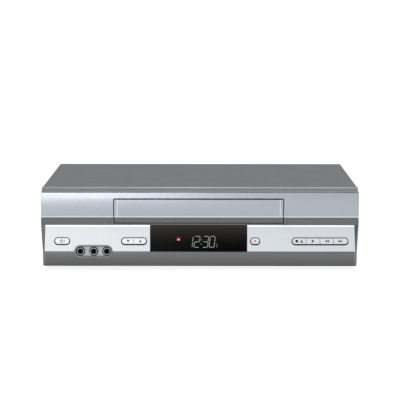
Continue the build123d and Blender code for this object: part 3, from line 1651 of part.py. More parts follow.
with BuildPart() as heat_sink:
    with BuildSketch(Plane.XY.offset(board_top)) as comb:
        sink_x = deck_edge + deck_clearance
        with Locations((sink_x, y_at(sink_depth))):
            Rectangle(sink_thickness, sink_length, align=(Align.MIN, Align.CENTER))
        with Locations((sink_x + sink_thickness / 2, y_at(sink_depth))):
            with GridLocations(1, (sink_length - fin_thickness) / (fin_count - 1), 1, fin_count):
                Rectangle(fin_reach, fin_thickness, align=(Align.MIN, Align.CENTER))
    extrude(comb.sketch, amount=sink_height)
save(heat_sink.part, "heat_sink")

with BuildPart() as tuner:
    slab(
        (tuner_x - tuner_width / 2, tuner_x + tuner_width / 2),
        (rear_inside - tuner_length, rear_inside),
        (board_top, tuner_top),
    )
    for level in aerial_levels:
        end = rear_y + terminal_reach
        rod((tuner_x, rear_inside, level), (tuner_x, end, level), aerial_radius)
        bore_foot = end - aerial_bore_length
        rod((tuner_x, bore_foot, level), (tuner_x, end + 1, level), contact_radius, Mode.SUBTRACT)
save(tuner.part, "tuner")

with BuildPart() as rear_jack_block:
    slab(
        (jack_column_x - jack_block_width / 2, jack_column_x + jack_block_width / 2),
        (rear_inside - jack_block_length, rear_inside),
        (board_top, jack_rows_middle + jack_row_pitch + jack_block_rim),
    )
    for x, level in jack_grid:
        core_end = rear_face + rear_core_reach
        rod((x, rear_inside, level), (x, core_end, level), shell_bore - running_gap)
        contact_foot = rear_inside - jack_block_length + contact_floor
        rod((x, contact_foot, level), (x, core_end + 1, level), contact_radius, Mode.SUBTRACT)
save(rear_jack_block.part, "rear_jack_block")

with BuildPart() as rear_jack_shells:
    with BuildSketch(Plane.XZ.offset(-rear_inside)) as rings:
        for x, level in jack_grid:
            with Locations((x, level)):
                Circle(shell_radius)
        for x, level in jack_grid:
            with Locations((x, level)):
                Circle(shell_bore, mode=Mode.SUBTRACT)
    extrude(rings.sketch, amount=-(rear_wall + rear_jack_reach))
save(rear_jack_shells.part, "rear_jack_shells")

gland_inner = rear_inside - gland_inner_reach
gland_outer = rear_face + gland_flange
with BuildPart() as cord_gland:
    rod((gland_x, gland_inner, gland_level), (gland_x, gland_outer, gland_level), gland_radius)
    rod(
        (gland_x, rear_face, gland_level),
        (gland_x, gland_outer, gland_level),
        gland_radius + gland_flange,
    )
    rod(
        (gland_x, gland_inner - 1, gland_level),
        (gland_x, gland_outer + 1, gland_level),
        gland_bore,
        Mode.SUBTRACT,
    )
save(cord_gland.part, "cord_gland")
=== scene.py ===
"""Looks of the video cassette recorder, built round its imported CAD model.

Metres, +Z up, the front faces -Y. Marks on the slanted control plates are laid out in
millimetres across and up those plates, from the middle of their front face.
"""

import json
import math

import bpy
from mathutils import Euler, Matrix, Vector


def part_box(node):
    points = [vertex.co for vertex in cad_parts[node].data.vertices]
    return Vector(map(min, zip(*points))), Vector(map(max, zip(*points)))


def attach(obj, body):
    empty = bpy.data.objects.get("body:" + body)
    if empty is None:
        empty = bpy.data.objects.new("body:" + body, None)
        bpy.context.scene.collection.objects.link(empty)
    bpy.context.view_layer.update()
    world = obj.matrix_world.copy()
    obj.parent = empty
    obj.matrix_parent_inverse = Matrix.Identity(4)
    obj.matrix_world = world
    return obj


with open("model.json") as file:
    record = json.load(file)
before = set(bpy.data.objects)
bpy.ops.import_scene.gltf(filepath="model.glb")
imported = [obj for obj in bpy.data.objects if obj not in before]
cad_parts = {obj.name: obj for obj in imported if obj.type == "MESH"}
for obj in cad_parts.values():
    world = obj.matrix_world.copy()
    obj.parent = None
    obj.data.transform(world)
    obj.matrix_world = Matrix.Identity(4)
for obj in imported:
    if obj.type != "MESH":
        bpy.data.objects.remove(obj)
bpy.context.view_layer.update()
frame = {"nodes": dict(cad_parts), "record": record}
nodes = frame["nodes"]
MM = 0.001
ACROSS, UP, FORWARD = (1, 0, 0), (0, 0, 1), (0, -1, 0)

# ---- Boxes of the pieces that the painted lines follow ----
plate_low, plate_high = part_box("left_control_plate")
window_low, window_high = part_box("display_window")
band_low, band_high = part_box("upper_fascia")
panel_low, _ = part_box("front_panel")
door_low, door_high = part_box("door_fascia")
door_x, door_half = (door_low.x + door_high.x) / 2, (door_high.x - door_low.x) / 2

# ---- Control plates: how far they lean ----
plate_set_back = 3.5 * MM
plate_rise = 29.8 * MM
plate_thickness = 1.6 * MM
plate_lean = math.atan2(plate_set_back, plate_rise)
foot_edge = Vector((0, plate_low.y, plate_low.z + plate_thickness * math.sin(plate_lean)))
top_edge = Vector((0, plate_high.y - plate_thickness * math.cos(plate_lean), plate_high.z))
plate_middle = (foot_edge + top_edge) / 2
plate_up = Vector((0, math.sin(plate_lean), math.cos(plate_lean)))
plate_out = Vector((0, -math.cos(plate_lean), math.sin(plate_lean)))
plate_face = plate_out.dot(top_edge)

# ---- Painted shade and painted highlights on the front: levels from 0 to 255, and where each one lies ----
# Walls of cut-outs are coloured dark as painted shade. Walls past these reaches from the middle keep the
# colour of their surface.
wall_shade = (9, 9, 10)
wall_turn = 0.45
cut_out_reach = 179 * MM
notch_reach = 100 * MM
window_shade_foot_share, window_shade_power = 0.02, 2.4
chin_shade_from, chin_shade_foot_share = 17 * MM, 0.62
under_band_shadow, under_band_shadow_half = (66, 68, 69), 0.5 * MM
side_shade_grey, side_turn = (58, 60, 61), 0.08
shaded_wedge_x, shaded_wedge_half = 177.5 * MM, 4.2 * MM
door_end_highlight, door_end_inset, door_end_highlight_half = (188, 192, 199), 3.2 * MM, 0.6 * MM
under_window_shadow, under_window_shadow_half = (20, 20, 20), 0.65 * MM
over_door_shadow, over_door_shadow_half = (24, 25, 27), 0.55 * MM
band_foot_highlight, band_foot_highlight_height = (186, 190, 196), 1.4 * MM
plate_top_highlight, plate_top_highlight_height = (238, 241, 244), 1.8 * MM
key_shade_depth = 0.4 * MM
recess_rim_grey, recess_rim_depth = (96, 99, 101), 0.5 * MM

# ---- Camera, fitted to the outline of the front and the cover ----
camera_place = (0.00371, -1.67238, 0.32709)
camera_pitch = 8.9448
camera_yaw = 0.1293
camera_roll = 0.0386
camera_lens = 126.357
camera_sensor = 36.0
camera_reach = 100


# ======== Materials ========
coat_roughness = 0.08
tint_swing = 2.5
wear_scale = 2.3
grain_depth = 0.00005
mottle_detail, wear_detail, grain_detail = 4.0, 3.0, 2.0
least_roughness = 0.02
diffuser_roughness, diffuser_mottle, diffuser_scale = 0.35, 0.10, 900.0


def linear(*levels):
    """Colour from 0 to 255 levels, as the linear values that shaders take."""
    shares = [level / 255 for level in levels]
    return [s / 12.92 if s <= 0.04045 else ((s + 0.055) / 1.055) ** 2.4 for s in shares]


def surface(name, levels, roughness, metallic=0.0, mottle=0.05, mottle_scale=40.0, stretch=(1, 1, 1),
            grain=0.0, grain_scale=1500.0, uneven=0.06, coat=0.0, specular=0.5):
    """Principled material with mottled colour, uneven roughness and a fine grain in its bump."""
    material = bpy.data.materials.new(name)
    material.use_nodes = True
    tree = material.node_tree
    shader = tree.nodes["Principled BSDF"]
    shader.inputs["Metallic"].default_value = metallic
    shader.inputs["Coat Weight"].default_value = coat
    shader.inputs["Coat Roughness"].default_value = coat_roughness
    shader.inputs["Specular IOR Level"].default_value = specular
    place = tree.nodes.new("ShaderNodeTexCoord")
    place.name = "place"
    mapping = tree.nodes.new("ShaderNodeMapping")
    mapping.inputs["Scale"].default_value = stretch
    tree.links.new(place.outputs["Object"], mapping.inputs["Vector"])

    def noise(scale, detail):
        node = tree.nodes.new("ShaderNodeTexNoise")
        node.inputs["Scale"].default_value = scale
        node.inputs["Detail"].default_value = detail
        tree.links.new(mapping.outputs["Vector"], node.inputs["Vector"])
        return node

    patches = noise(mottle_scale, mottle_detail)
    tint = tree.nodes.new("ShaderNodeValToRGB")
    base = linear(*levels)
    swing = tint_swing * mottle
    tint.color_ramp.elements[0].color = [c * (1 - swing) for c in base] + [1]
    tint.color_ramp.elements[1].color = [min(1, c * (1 + swing)) for c in base] + [1]
    tree.links.new(patches.outputs["Fac"], tint.inputs["Fac"])
    tree.links.new(tint.outputs["Color"], shader.inputs["Base Color"])
    spread = tree.nodes.new("ShaderNodeMapRange")
    spread.inputs["To Min"].default_value = max(least_roughness, roughness - uneven)
    spread.inputs["To Max"].default_value = min(1.0, roughness + uneven)
    tree.links.new(noise(mottle_scale * wear_scale, wear_detail).outputs["Fac"], spread.inputs["Value"])
    tree.links.new(spread.outputs["Result"], shader.inputs["Roughness"])
    if grain:
        bump = tree.nodes.new("ShaderNodeBump")
        bump.inputs["Strength"].default_value = grain
        bump.inputs["Distance"].default_value = grain_depth
        tree.links.new(noise(grain_scale, grain_detail).outputs["Fac"], bump.inputs["Height"])
        tree.links.new(bump.outputs["Normal"], shader.inputs["Normal"])
    return material


def give_light(material, levels, strength):
    """Let a surface give off light of its own."""
    shader = material.node_tree.nodes["Principled BSDF"]
    shader.inputs["Emission Color"].default_value = linear(*levels) + [1]
    shader.inputs["Emission Strength"].default_value = strength


def glowing(name, levels, strength, glow_levels):
    """Surface that gives off light, as a lamp behind a mottled diffuser does."""
    material = surface(
        name, levels, diffuser_roughness, mottle=diffuser_mottle, mottle_scale=diffuser_scale
    )
    give_light(material, glow_levels, strength)
    return material


def object_reach(material, direction):
    """How far a point of the piece lies along a direction from the origin, as a socket."""
    tree = material.node_tree
    reach = tree.nodes.new("ShaderNodeVectorMath")
    reach.operation = "DOT_PRODUCT"
    tree.links.new(tree.nodes["place"].outputs["Object"], reach.inputs[0])
    reach.inputs[1].default_value = direction
    return reach.outputs["Value"]


def facing(material, direction):
    """How far a face turns towards a direction, as a socket."""
    tree = material.node_tree
    faces = tree.nodes.new("ShaderNodeNewGeometry")
    turned = tree.nodes.new("ShaderNodeVectorMath")
    turned.operation = "DOT_PRODUCT"
    tree.links.new(faces.outputs["True Normal"], turned.inputs[0])
    turned.inputs[1].default_value = direction
    return turned.outputs["Value"]


def test(material, operation, value, limit, slack=0.0):
    """Mask that is 1 where the value passes the test and 0 elsewhere."""
    tree = material.node_tree
    node = tree.nodes.new("ShaderNodeMath")
    node.operation = operation
    tree.links.new(value, node.inputs[0])
    node.inputs[1].default_value = limit
    node.inputs[2].default_value = slack
    return node.outputs["Value"]


def around(material, direction, middle, half):
    """Mask of a stripe along a direction, from its middle and half its width."""
    return test(material, "COMPARE", object_reach(material, direction), middle, half)


def between(material, direction, low, high):
    """Mask of a stripe along a direction, from its two ends."""
    return around(material, direction, (low + high) / 2, (high - low) / 2)


def past(material, direction, limit):
    """Mask of what lies further along a direction than a limit."""
    return test(material, "GREATER_THAN", object_reach(material, direction), limit)


def short_of(material, direction, limit):
    """Mask of what lies less far along a direction than a limit."""
    return test(material, "LESS_THAN", object_reach(material, direction), limit)


def walls(material):
    """Mask of the faces that hardly look forward."""
    return test(material, "LESS_THAN", facing(material, FORWARD), wall_turn)


def paint_over(material, levels, *masks):
    """Give the places where all masks are 1 another colour."""
    tree = material.node_tree
    base = tree.nodes["Principled BSDF"].inputs["Base Color"]
    under = base.links[0].from_socket
    cover = masks[0]
    for mask in masks[1:]:
        both = tree.nodes.new("ShaderNodeMath")
        both.operation = "MULTIPLY"
        tree.links.new(cover, both.inputs[0])
        tree.links.new(mask, both.inputs[1])
        cover = both.outputs["Value"]
    paint = tree.nodes.new("ShaderNodeMix")
    paint.data_type = "RGBA"
    tree.links.new(cover, paint.inputs["Factor"])
    tree.links.new(under, paint.inputs["A"])
    paint.inputs["B"].default_value = linear(*levels) + [1]
    tree.links.new(paint.outputs["Result"], base)


def fade_down(material, high, low, low_share, power=1.0):
    """Darken a material's colour from one height down to another, to a share of it."""
    tree = material.node_tree
    base = tree.nodes["Principled BSDF"].inputs["Base Color"]
    under = base.links[0].from_socket
    fade = tree.nodes.new("ShaderNodeMapRange")
    fade.inputs["From Min"].default_value = low
    fade.inputs["From Max"].default_value = high
    tree.links.new(object_reach(material, UP), fade.inputs["Value"])
    bend = tree.nodes.new("ShaderNodeMath")
    bend.operation = "POWER"
    tree.links.new(fade.outputs["Result"], bend.inputs[0])
    bend.inputs[1].default_value = power
    share = tree.nodes.new("ShaderNodeMapRange")
    share.inputs["To Min"].default_value = low_share
    tree.links.new(bend.outputs["Value"], share.inputs["Value"])
    shade = tree.nodes.new("ShaderNodeMix")
    shade.data_type = "RGBA"
    shade.blend_type = "MULTIPLY"
    shade.inputs["Factor"].default_value = 1.0
    tree.links.new(under, shade.inputs["A"])
    tree.links.new(share.outputs["Result"], shade.inputs["B"])
    tree.links.new(shade.outputs["Result"], base)


# ---- One look for each material slot of the CAD: levels, roughness, metallic and the rest ----
BRUSHED_X = (1, 40, 40)
BRUSHED_Z = (30, 30, 1)
TURNED_Z = (1, 1, 60)
finishes = {
    "cover_paint": (
        (80, 82, 83), 0.55, 0.1, dict(mottle=0.03, grain=0.35, grain_scale=2600, specular=0.3)
    ),
    "grey_plastic": (
        (85, 87, 88), 0.32, 0.15, dict(mottle=0.03, grain=0.1, grain_scale=2200, uneven=0.02)
    ),
    "silver_band": (
        (154, 159, 167), 0.26, 0.5, dict(mottle=0.01, grain=0.03, grain_scale=2400, uneven=0.01)
    ),
    "silver_plate": (
        (184, 188, 192), 0.33, 0.05, dict(mottle=0.01, grain=0.03, grain_scale=2400, uneven=0.015)
    ),
    "key_silver": (
        (190, 193, 197), 0.3, 0.15, dict(mottle=0.015, grain=0.03, grain_scale=2400, uneven=0.015)
    ),
    "display_smoke": ((46, 43, 41), 0.2, 0, dict(mottle=0.08, mottle_scale=8, specular=0.03)),
    "display_glass": ((70, 84, 80), 0.08, 0, dict(mottle=0.15, mottle_scale=120, coat=0.8)),
    "recess_silver": ((132, 135, 138), 0.36, 0.4, dict(mottle=0.03, grain=0.1)),
    "black_plastic": ((24, 24, 26), 0.48, 0, dict(mottle=0.15, mottle_scale=90, grain=0.25)),
    "plated_steel": ((186, 188, 190), 0.34, 0.95, dict(mottle=0.06, mottle_scale=140, stretch=BRUSHED_X)),
    "chrome_metal": ((214, 214, 216), 0.16, 1.0, dict(mottle=0.05, mottle_scale=300)),
    "drum_metal": ((210, 212, 214), 0.17, 1.0, dict(mottle=0.06, mottle_scale=160, stretch=TURNED_Z)),
    "rubber_black": ((34, 33, 33), 0.78, 0, dict(mottle=0.2, mottle_scale=200, grain=0.5)),
    "sleeve_brass": ((196, 160, 96), 0.36, 0.9, dict(mottle=0.1, mottle_scale=400)),
    "cream_plastic": ((228, 223, 206), 0.40, 0, dict(mottle=0.03, mottle_scale=120, grain=0.1)),
    "white_plastic": ((236, 235, 230), 0.40, 0, dict(mottle=0.02, mottle_scale=120, grain=0.1)),
    "board_green": ((104, 122, 66), 0.46, 0, dict(mottle=0.12, mottle_scale=260, coat=0.3)),
    "chassis_steel": ((150, 152, 152), 0.44, 0.7, dict(mottle=0.05, mottle_scale=70, grain=0.1)),
    "ferrite": ((66, 62, 60), 0.62, 0, dict(mottle=0.15, mottle_scale=300, grain=0.4)),
    "capacitor_sleeve": ((42, 48, 74), 0.35, 0, dict(mottle=0.12, mottle_scale=160, coat=0.4)),
    "sink_aluminium": ((196, 198, 200), 0.38, 0.9, dict(mottle=0.06, mottle_scale=200, stretch=BRUSHED_Z)),
}
looks = {
    slot: surface(slot, levels, roughness, metallic, **rest)
    for slot, (levels, roughness, metallic, rest) in finishes.items()
}
panel, band, plate, key, recess = (
    looks[slot] for slot in ("grey_plastic", "silver_band", "silver_plate", "key_silver", "recess_silver")
)

# ---- Grey front: painted shade on the smoked window and the chin towards their foot, a painted shadow under the band, painted shade on the sides beside the plates, painted highlights at the door's ends ----
# Painted reflection and shade: the smoked window is coloured lighter at its top and darker towards its
# foot.
fade_down(looks["display_smoke"], window_high.z, window_low.z, window_shade_foot_share, window_shade_power)
# Painted shade: the grey plastic darkens towards the foot of the chin.
fade_down(panel, chin_shade_from, panel_low.z, chin_shade_foot_share)
# Painted shadow: a dark line on the grey plastic just under the silver band.
paint_over(
    panel,
    under_band_shadow,
    around(panel, UP, band_low.z - under_band_shadow_half, under_band_shadow_half),
    around(panel, ACROSS, 0, cut_out_reach),
)
for side in (-1, 1):
    # Painted shade: grey faces turned to this side are coloured darker, and so is a wedge beside the
    # plates.
    paint_over(
        panel,
        side_shade_grey,
        test(panel, "GREATER_THAN", facing(panel, (side, 0, 0)), side_turn),
        past(panel, UP, window_low.z),
    )
    paint_over(
        panel,
        side_shade_grey,
        between(panel, UP, window_low.z, window_high.z),
        around(panel, ACROSS, side * shaded_wedge_x, shaded_wedge_half),
    )
    # Painted highlight: lighter lines on the silver band near each end of the door.
    paint_over(
        band,
        door_end_highlight,
        short_of(band, UP, door_high.z),
        around(band, ACROSS, door_x + side * (door_half - door_end_inset), door_end_highlight_half),
    )
# Painted shadow: a black line on the grey plastic along the foot of the display window.
paint_over(
    panel,
    under_window_shadow,
    around(panel, UP, window_low.z, under_window_shadow_half),
    between(panel, ACROSS, window_low.x, window_high.x),
)

# ---- Silver band: painted shadow in the gap over the door, a painted highlight along its foot and painted shade on the walls of its notch ----
# Painted shadow: a dark line on the silver band along the gap over the door.
paint_over(
    band,
    over_door_shadow,
    around(band, UP, door_high.z, over_door_shadow_half),
    between(band, ACROSS, door_low.x, door_high.x),
)
# Painted highlight: the silver band is lighter along its foot.
paint_over(band, band_foot_highlight, short_of(band, UP, band_low.z + band_foot_highlight_height))
# Painted shade: the walls of the band's notch are coloured dark.
paint_over(band, wall_shade, walls(band), around(band, ACROSS, 0, notch_reach))

# ---- Plates, keys and jack recess: painted highlight along the plates' top edge, painted shade on the walls of cut-outs and on the keys, grey rim ----
# Painted highlight: the plates are lighter along their top edge.
paint_over(plate, plate_top_highlight, past(plate, plate_up, plate_up.dot(top_edge) - plate_top_highlight_height))
# Painted shade: the walls of the plates' cut-outs are coloured dark.
paint_over(plate, wall_shade, walls(plate), around(plate, ACROSS, 0, cut_out_reach))
# Painted shade: the keys' walls, and the keys below the plates' face, are coloured dark.
paint_over(key, wall_shade, walls(key))
paint_over(key, wall_shade, short_of(key, plate_out, plate_face - key_shade_depth))
paint_over(recess, recess_rim_grey, past(recess, plate_out, plate_face - recess_rim_depth))
# Painted shade: the walls in the jack recess are coloured dark.
paint_over(recess, wall_shade, walls(recess))

# ---- Every CAD node takes its slot's look, apart from the front jacks ----
jack_ring = surface("jack_ring", (108, 110, 113), 0.34, 0.9, mottle=0.06, mottle_scale=600)
jack_core = surface("jack_core", (7, 7, 8), 0.6, mottle=0.2, mottle_scale=300, specular=0.1)
own_looks = {"front_jack_shells": jack_ring, "front_jack_block": jack_core}
for entry in frame["record"]["subparts"]:
    node = nodes[entry["node"]]
    node.data.materials.clear()
    node.data.materials.append(own_looks.get(entry["node"], looks[entry["material_slot"]]))

# ---- Looks of the pieces that this script adds ----
# Dark ink for the symbols, also used for the painted shadow round the keys and the painted shade in the
# screws' cross recesses.
ink_and_shade_dark = surface("ink_and_shade_dark", (10, 10, 12), 0.7, mottle=0.1, mottle_scale=800, specular=0.2)
ink_red = surface("ink_red", (196, 44, 52), 0.5, mottle=0.08, mottle_scale=800)
segment_glow = glowing("segment_glow", (96, 102, 92), 0.12, (190, 204, 182))
lamp_glow = glowing("lamp_glow", (170, 110, 110), 0.4, (255, 180, 176))
lens_red = surface("lens_red", (92, 16, 17), 0.36, mottle=0.2, mottle_scale=500, specular=0.1)
# Painted shade: a dark grey for the shade of the groove in the jack recess.
groove_shade_grey = surface("groove_shade_grey", (52, 54, 56), 0.5, mottle=0.1, mottle_scale=300)
# Painted highlight: the ridge bead is coloured much lighter than the grey panel it rounds.
ridge_highlight_silver = surface("ridge_highlight_silver", (178, 180, 182), 0.34, 0.4, mottle=0.02, grain=0.1, uneven=0.02)


# ======== Making pieces ========
def on_plate(x, level, out):
    """Point at millimetres across, up and out from the middle of the plates' front face."""
    return plate_middle + Vector((x * MM, 0, 0)) + plate_up * level * MM + plate_out * out * MM


def mesh_object(name, vertices, faces):
    """New object in the scene with a mesh of its own."""
    mesh = bpy.data.meshes.new(name)
    mesh.from_pydata(vertices, [], faces)
    mesh.validate()
    made = bpy.data.objects.new(name, mesh)
    bpy.context.scene.collection.objects.link(made)
    return made


def raised(name, outlines, low, high, place=on_plate):
    """Closed prisms over flat outlines, from one height to another."""
    vertices, faces = [], []
    for outline in outlines:
        first, count = len(vertices), len(outline)
        vertices += [place(x, level, low) for x, level in outline]
        vertices += [place(x, level, high) for x, level in outline]
        faces.append([first + i for i in reversed(range(count))])
        faces.append([first + count + i for i in range(count)])
        for i in range(count):
            j = (i + 1) % count
            faces.append([first + i, first + j, first + count + j, first + count + i])
    return mesh_object(name, vertices, faces)


def dress(piece, body, material):
    """Give a piece its material and the body it rides on."""
    piece.data.materials.append(material)
    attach(piece, body)


def rectangle(x, level, width, height):
    w, h = width / 2, height / 2
    return [(x - w, level - h), (x + w, level - h), (x + w, level + h), (x - w, level + h)]


def triangle(x, level, width, height, pointing):
    """Triangle that points right, left, up or down."""
    turn = {"right": 0, "up": 90, "left": 180, "down": 270}[pointing]
    c, s = math.cos(math.radians(turn)), math.sin(math.radians(turn))
    corners = ((width / 2, 0), (-width / 2, height / 2), (-width / 2, -height / 2))
    return [(x + c * u - s * v, level + s * u + c * v) for u, v in corners]


def disc(x, level, radius, steps=24):
    turns = [2 * math.pi * i / steps for i in range(steps)]
    return [(x + radius * math.cos(t), level + radius * math.sin(t)) for t in turns]


def arc_band(x, level, radius, width, start, end, steps=20):
    """Outlines of a ring's arc, counter-clockwise in degrees, as short convex pieces."""
    pieces = []
    for i in range(steps):
        a, b = (math.radians(start + (end - start) * (i + k) / steps) for k in (0, 1))
        inner, outer = radius - width / 2, radius + width / 2
        corners = ((inner, a), (outer, a), (outer, b), (inner, b))
        pieces.append([(x + r * math.cos(t), level + r * math.sin(t)) for r, t in corners])
    return pieces


def stadium(x, level, width, height, steps=14):
    """Outline of a rounded bar, counter-clockwise."""
    radius, reach = height / 2, (width - height) / 2
    points = []
    for side, first in ((1, -90), (-1, 90)):
        for i in range(steps + 1):
            turn = math.radians(first + 180 * i / steps)
            points.append((x + side * reach + radius * math.cos(turn), level + radius * math.sin(turn)))
    return points


def ring_outlines(outer, inner):
    """Four-sided pieces between two outlines with as many points."""
    count = len(outer)
    return [[outer[i], outer[(i + 1) % count], inner[(i + 1) % count], inner[i]] for i in range(count)]


def key_middle(node):
    """Middle of a key across the plates, in millimetres."""
    low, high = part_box(node)
    return (low.x + high.x) / 2 / MM


# ======== Symbols on the keys, in millimetres from the middle of each key ========
ink = 0.03
key_level = -3.2
key_proud = 0.9
symbol_height = 3.3
power_stroke = 0.7
power_ring_x, power_ring_radius, power_ring_turns = -0.8, 1.5, (120, 420)
power_stem_rise, power_stem_height = 1.2, 1.6
power_bar_x = 2.4
channel_down_x, channel_up_x, channel_arrow = -6.7, 7.2, 2.6
channel_bar_x, channel_bar_width, channel_bar_height = -0.5, 0.4, 4.6
stop_square_x, stop_square = -2.8, 2.9
eject_x, eject_rise, eject_arrow = 2.7, 0.5, 1.9
eject_bar_rise, eject_bar_height = -1.3, 0.8
play_arrow_x = 0.2
wind_width, wind_height = 2.3, 2.9
rewind_arrows, forward_arrows = (-0.65, 1.65), (-1.35, 0.95)
record_radius = 1.15

power_x = key_middle("power_button")
power_mark = arc_band(
    power_x + power_ring_x, key_level, power_ring_radius, power_stroke, *power_ring_turns
)
power_mark.append(
    rectangle(power_x + power_ring_x, key_level + power_stem_rise, power_stroke, power_stem_height)
)
power_mark.append(rectangle(power_x + power_bar_x, key_level, power_stroke, symbol_height))
channel_x = key_middle("channel_rocker")
stop_x, play_x = key_middle("stop_eject_button"), key_middle("play_button")
rewind_x, forward_x = key_middle("rewind_button"), key_middle("fast_forward_button")
key_marks = {
    "power_mark": ("power_key", power_mark),
    "channel_marks": (
        "channel_key",
        [
            triangle(channel_x + channel_down_x, key_level, channel_arrow, symbol_height, "down"),
            triangle(channel_x + channel_up_x, key_level, channel_arrow, symbol_height, "up"),
            rectangle(channel_x + channel_bar_x, key_level, channel_bar_width, channel_bar_height),
        ],
    ),
    "stop_eject_marks": (
        "stop_eject_key",
        [
            rectangle(stop_x + stop_square_x, key_level, stop_square, stop_square),
            triangle(stop_x + eject_x, key_level + eject_rise, eject_arrow, symbol_height, "up"),
            rectangle(stop_x + eject_x, key_level + eject_bar_rise, symbol_height, eject_bar_height),
        ],
    ),
    "play_mark": (
        "play_key",
        [triangle(play_x + play_arrow_x, key_level, symbol_height, symbol_height, "right")],
    ),
    "rewind_marks": (
        "rewind_key",
        [triangle(rewind_x + k, key_level, wind_width, wind_height, "left") for k in rewind_arrows],
    ),
    "fast_forward_marks": (
        "fast_forward_key",
        [triangle(forward_x + k, key_level, wind_width, wind_height, "right") for k in forward_arrows],
    ),
}
mark_low, mark_high = key_proud - ink, key_proud + ink
for mark_name, (body, outlines) in key_marks.items():
    dress(raised(mark_name, outlines, mark_low, mark_high), body, ink_and_shade_dark)
record_disc = disc(key_middle("record_button"), key_level, record_radius)
dress(raised("record_mark", [record_disc], mark_low, mark_high), "record_key", ink_red)


# ======== Clock figures and the red lamp on the display window ========
figure_width = 6.4
figure_height = 13.2
figure_level = -4.1
figure_stroke = 0.78
figure_slant = 6
figure_lean = math.tan(math.radians(figure_slant))
figure_gap = 0.25
lit_bars = {"1": "bc", "2": "abged", "3": "abgcd", "0": "abcdef"}
clock = {"1": -10.9, "2": -3.1, "3": 6.6, "0": 14.0}
dot_size = 0.9
colon_x, colon_rises = 1.9, (-2.4, 2.2)
end_dot_x, end_dot_width, end_dot_rises = 19.3, 1.1, (-2.9, -5.3)
lamp_x, lamp_level, lamp_width, lamp_height = -24.1, -1.6, 2.6, 1.6
lens_x, lens_level, lens_width, lens_height = -24.0, -0.7, 4.8, 4.4


def bar(start, end):
    """Six-sided lit bar between two points of a figure."""
    along = Vector(end) - Vector(start)
    along.normalize()
    across = Vector((-along.y, along.x)) * figure_stroke / 2
    tip = along * figure_stroke / 2
    head, tail = Vector(start) + along * figure_gap, Vector(end) - along * figure_gap
    return [head, head + tip - across, tail - tip - across, tail, tail - tip + across, head + tip + across]


def figure(character, x):
    """Lit bars of one slanted seven-bar figure about its middle."""
    w, h = (figure_width - figure_stroke) / 2, (figure_height - figure_stroke) / 2
    ends = {
        "a": ((-w, h), (w, h)),
        "b": ((w, 0), (w, h)),
        "c": ((w, -h), (w, 0)),
        "d": ((-w, -h), (w, -h)),
        "e": ((-w, -h), (-w, 0)),
        "f": ((-w, 0), (-w, h)),
        "g": ((-w, 0), (w, 0)),
    }
    bars = [bar(*ends[letter]) for letter in lit_bars[character]]
    return [[(x + p.x + p.y * figure_lean, figure_level + p.y) for p in outline] for outline in bars]


clock_outlines = [outline for character, x in clock.items() for outline in figure(character, x)]
clock_outlines += [
    rectangle(colon_x + k * figure_lean, figure_level + k, dot_size, dot_size) for k in colon_rises
]
clock_outlines += [rectangle(end_dot_x, figure_level + k, end_dot_width, dot_size) for k in end_dot_rises]
dress(raised("clock_figures", clock_outlines, -ink, ink), "root", segment_glow)
lamp_outline = rectangle(lamp_x, lamp_level, lamp_width, lamp_height)
lens_outline = rectangle(lens_x, lens_level, lens_width, lens_height)
dress(raised("timer_lamp", [lamp_outline], -ink, 2 * ink), "root", lamp_glow)
dress(raised("timer_lens", [lens_outline], -ink, ink), "root", lens_red)


# ======== Painted shade round the keys and in the jack recess ====
# ---- Painted shadow round each group of keys, wider below ----
key_hole_gap, key_hole_height = 0.9, 8.3
shadow_widening, shadow_drop = 0.5, 0.35
for group, first_key, last_key in (
    ("power", "power_button", "power_button"),
    ("channel", "channel_rocker", "channel_rocker"),
    ("record", "record_button", "record_button"),
    ("transport", "stop_eject_button", "fast_forward_button"),
):
    group_low, group_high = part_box(first_key)[0].x / MM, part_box(last_key)[1].x / MM
    hole_width = group_high - group_low + 2 * key_hole_gap
    hole_x = (group_low + group_high) / 2
    shadow_outlines = ring_outlines(
        stadium(hole_x, key_level - shadow_drop, hole_width + shadow_widening, key_hole_height + 2 * shadow_drop),
        stadium(hole_x, key_level, hole_width, key_hole_height),
    )
    dress(raised(f"{group}_key_shadow", shadow_outlines, -ink, ink), "root", ink_and_shade_dark)

# ---- Painted shade of a groove round the floor of the jack recess ----
recess_low, recess_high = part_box("jack_recess")
recess_x = (recess_low.x + recess_high.x) / 2 / MM
recess_level = -15.1
recess_floor = -3.2
dish_width, dish_height, groove = 40.6, 11.5, 0.6
groove_outlines = ring_outlines(
    stadium(recess_x, recess_level, dish_width, dish_height),
    stadium(recess_x, recess_level, dish_width - 2 * groove, dish_height - 2 * groove),
)
jack_groove_shade = raised("jack_groove_shade", groove_outlines, recess_floor - ink, recess_floor + ink)
dress(jack_groove_shade, "root", groove_shade_grey)


# ======== Rounded edges along the front: a bead on the panel's ridge, coloured lighter than the panel as a painted highlight, and one over the band's top ===
cover_low, cover_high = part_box("top_cover")
bead_reach = 177 * MM
bead_steps = 10
ridge_run, ridge_fall = 3.0 * MM, 2.5 * MM
ridge_share, ridge_sink, ridge_round = 0.28, 0.2 * MM, 0.45 * MM
ridge_crest = (cover_low.y - ridge_share * ridge_run, cover_high.z - ridge_share * ridge_fall - ridge_sink)
band_set_back, band_round = 0.77 * MM, 0.55 * MM
band_crest = (band_low.y + band_set_back + band_round, band_high.z - band_round)
ridge_turn, band_turn = 100, 90


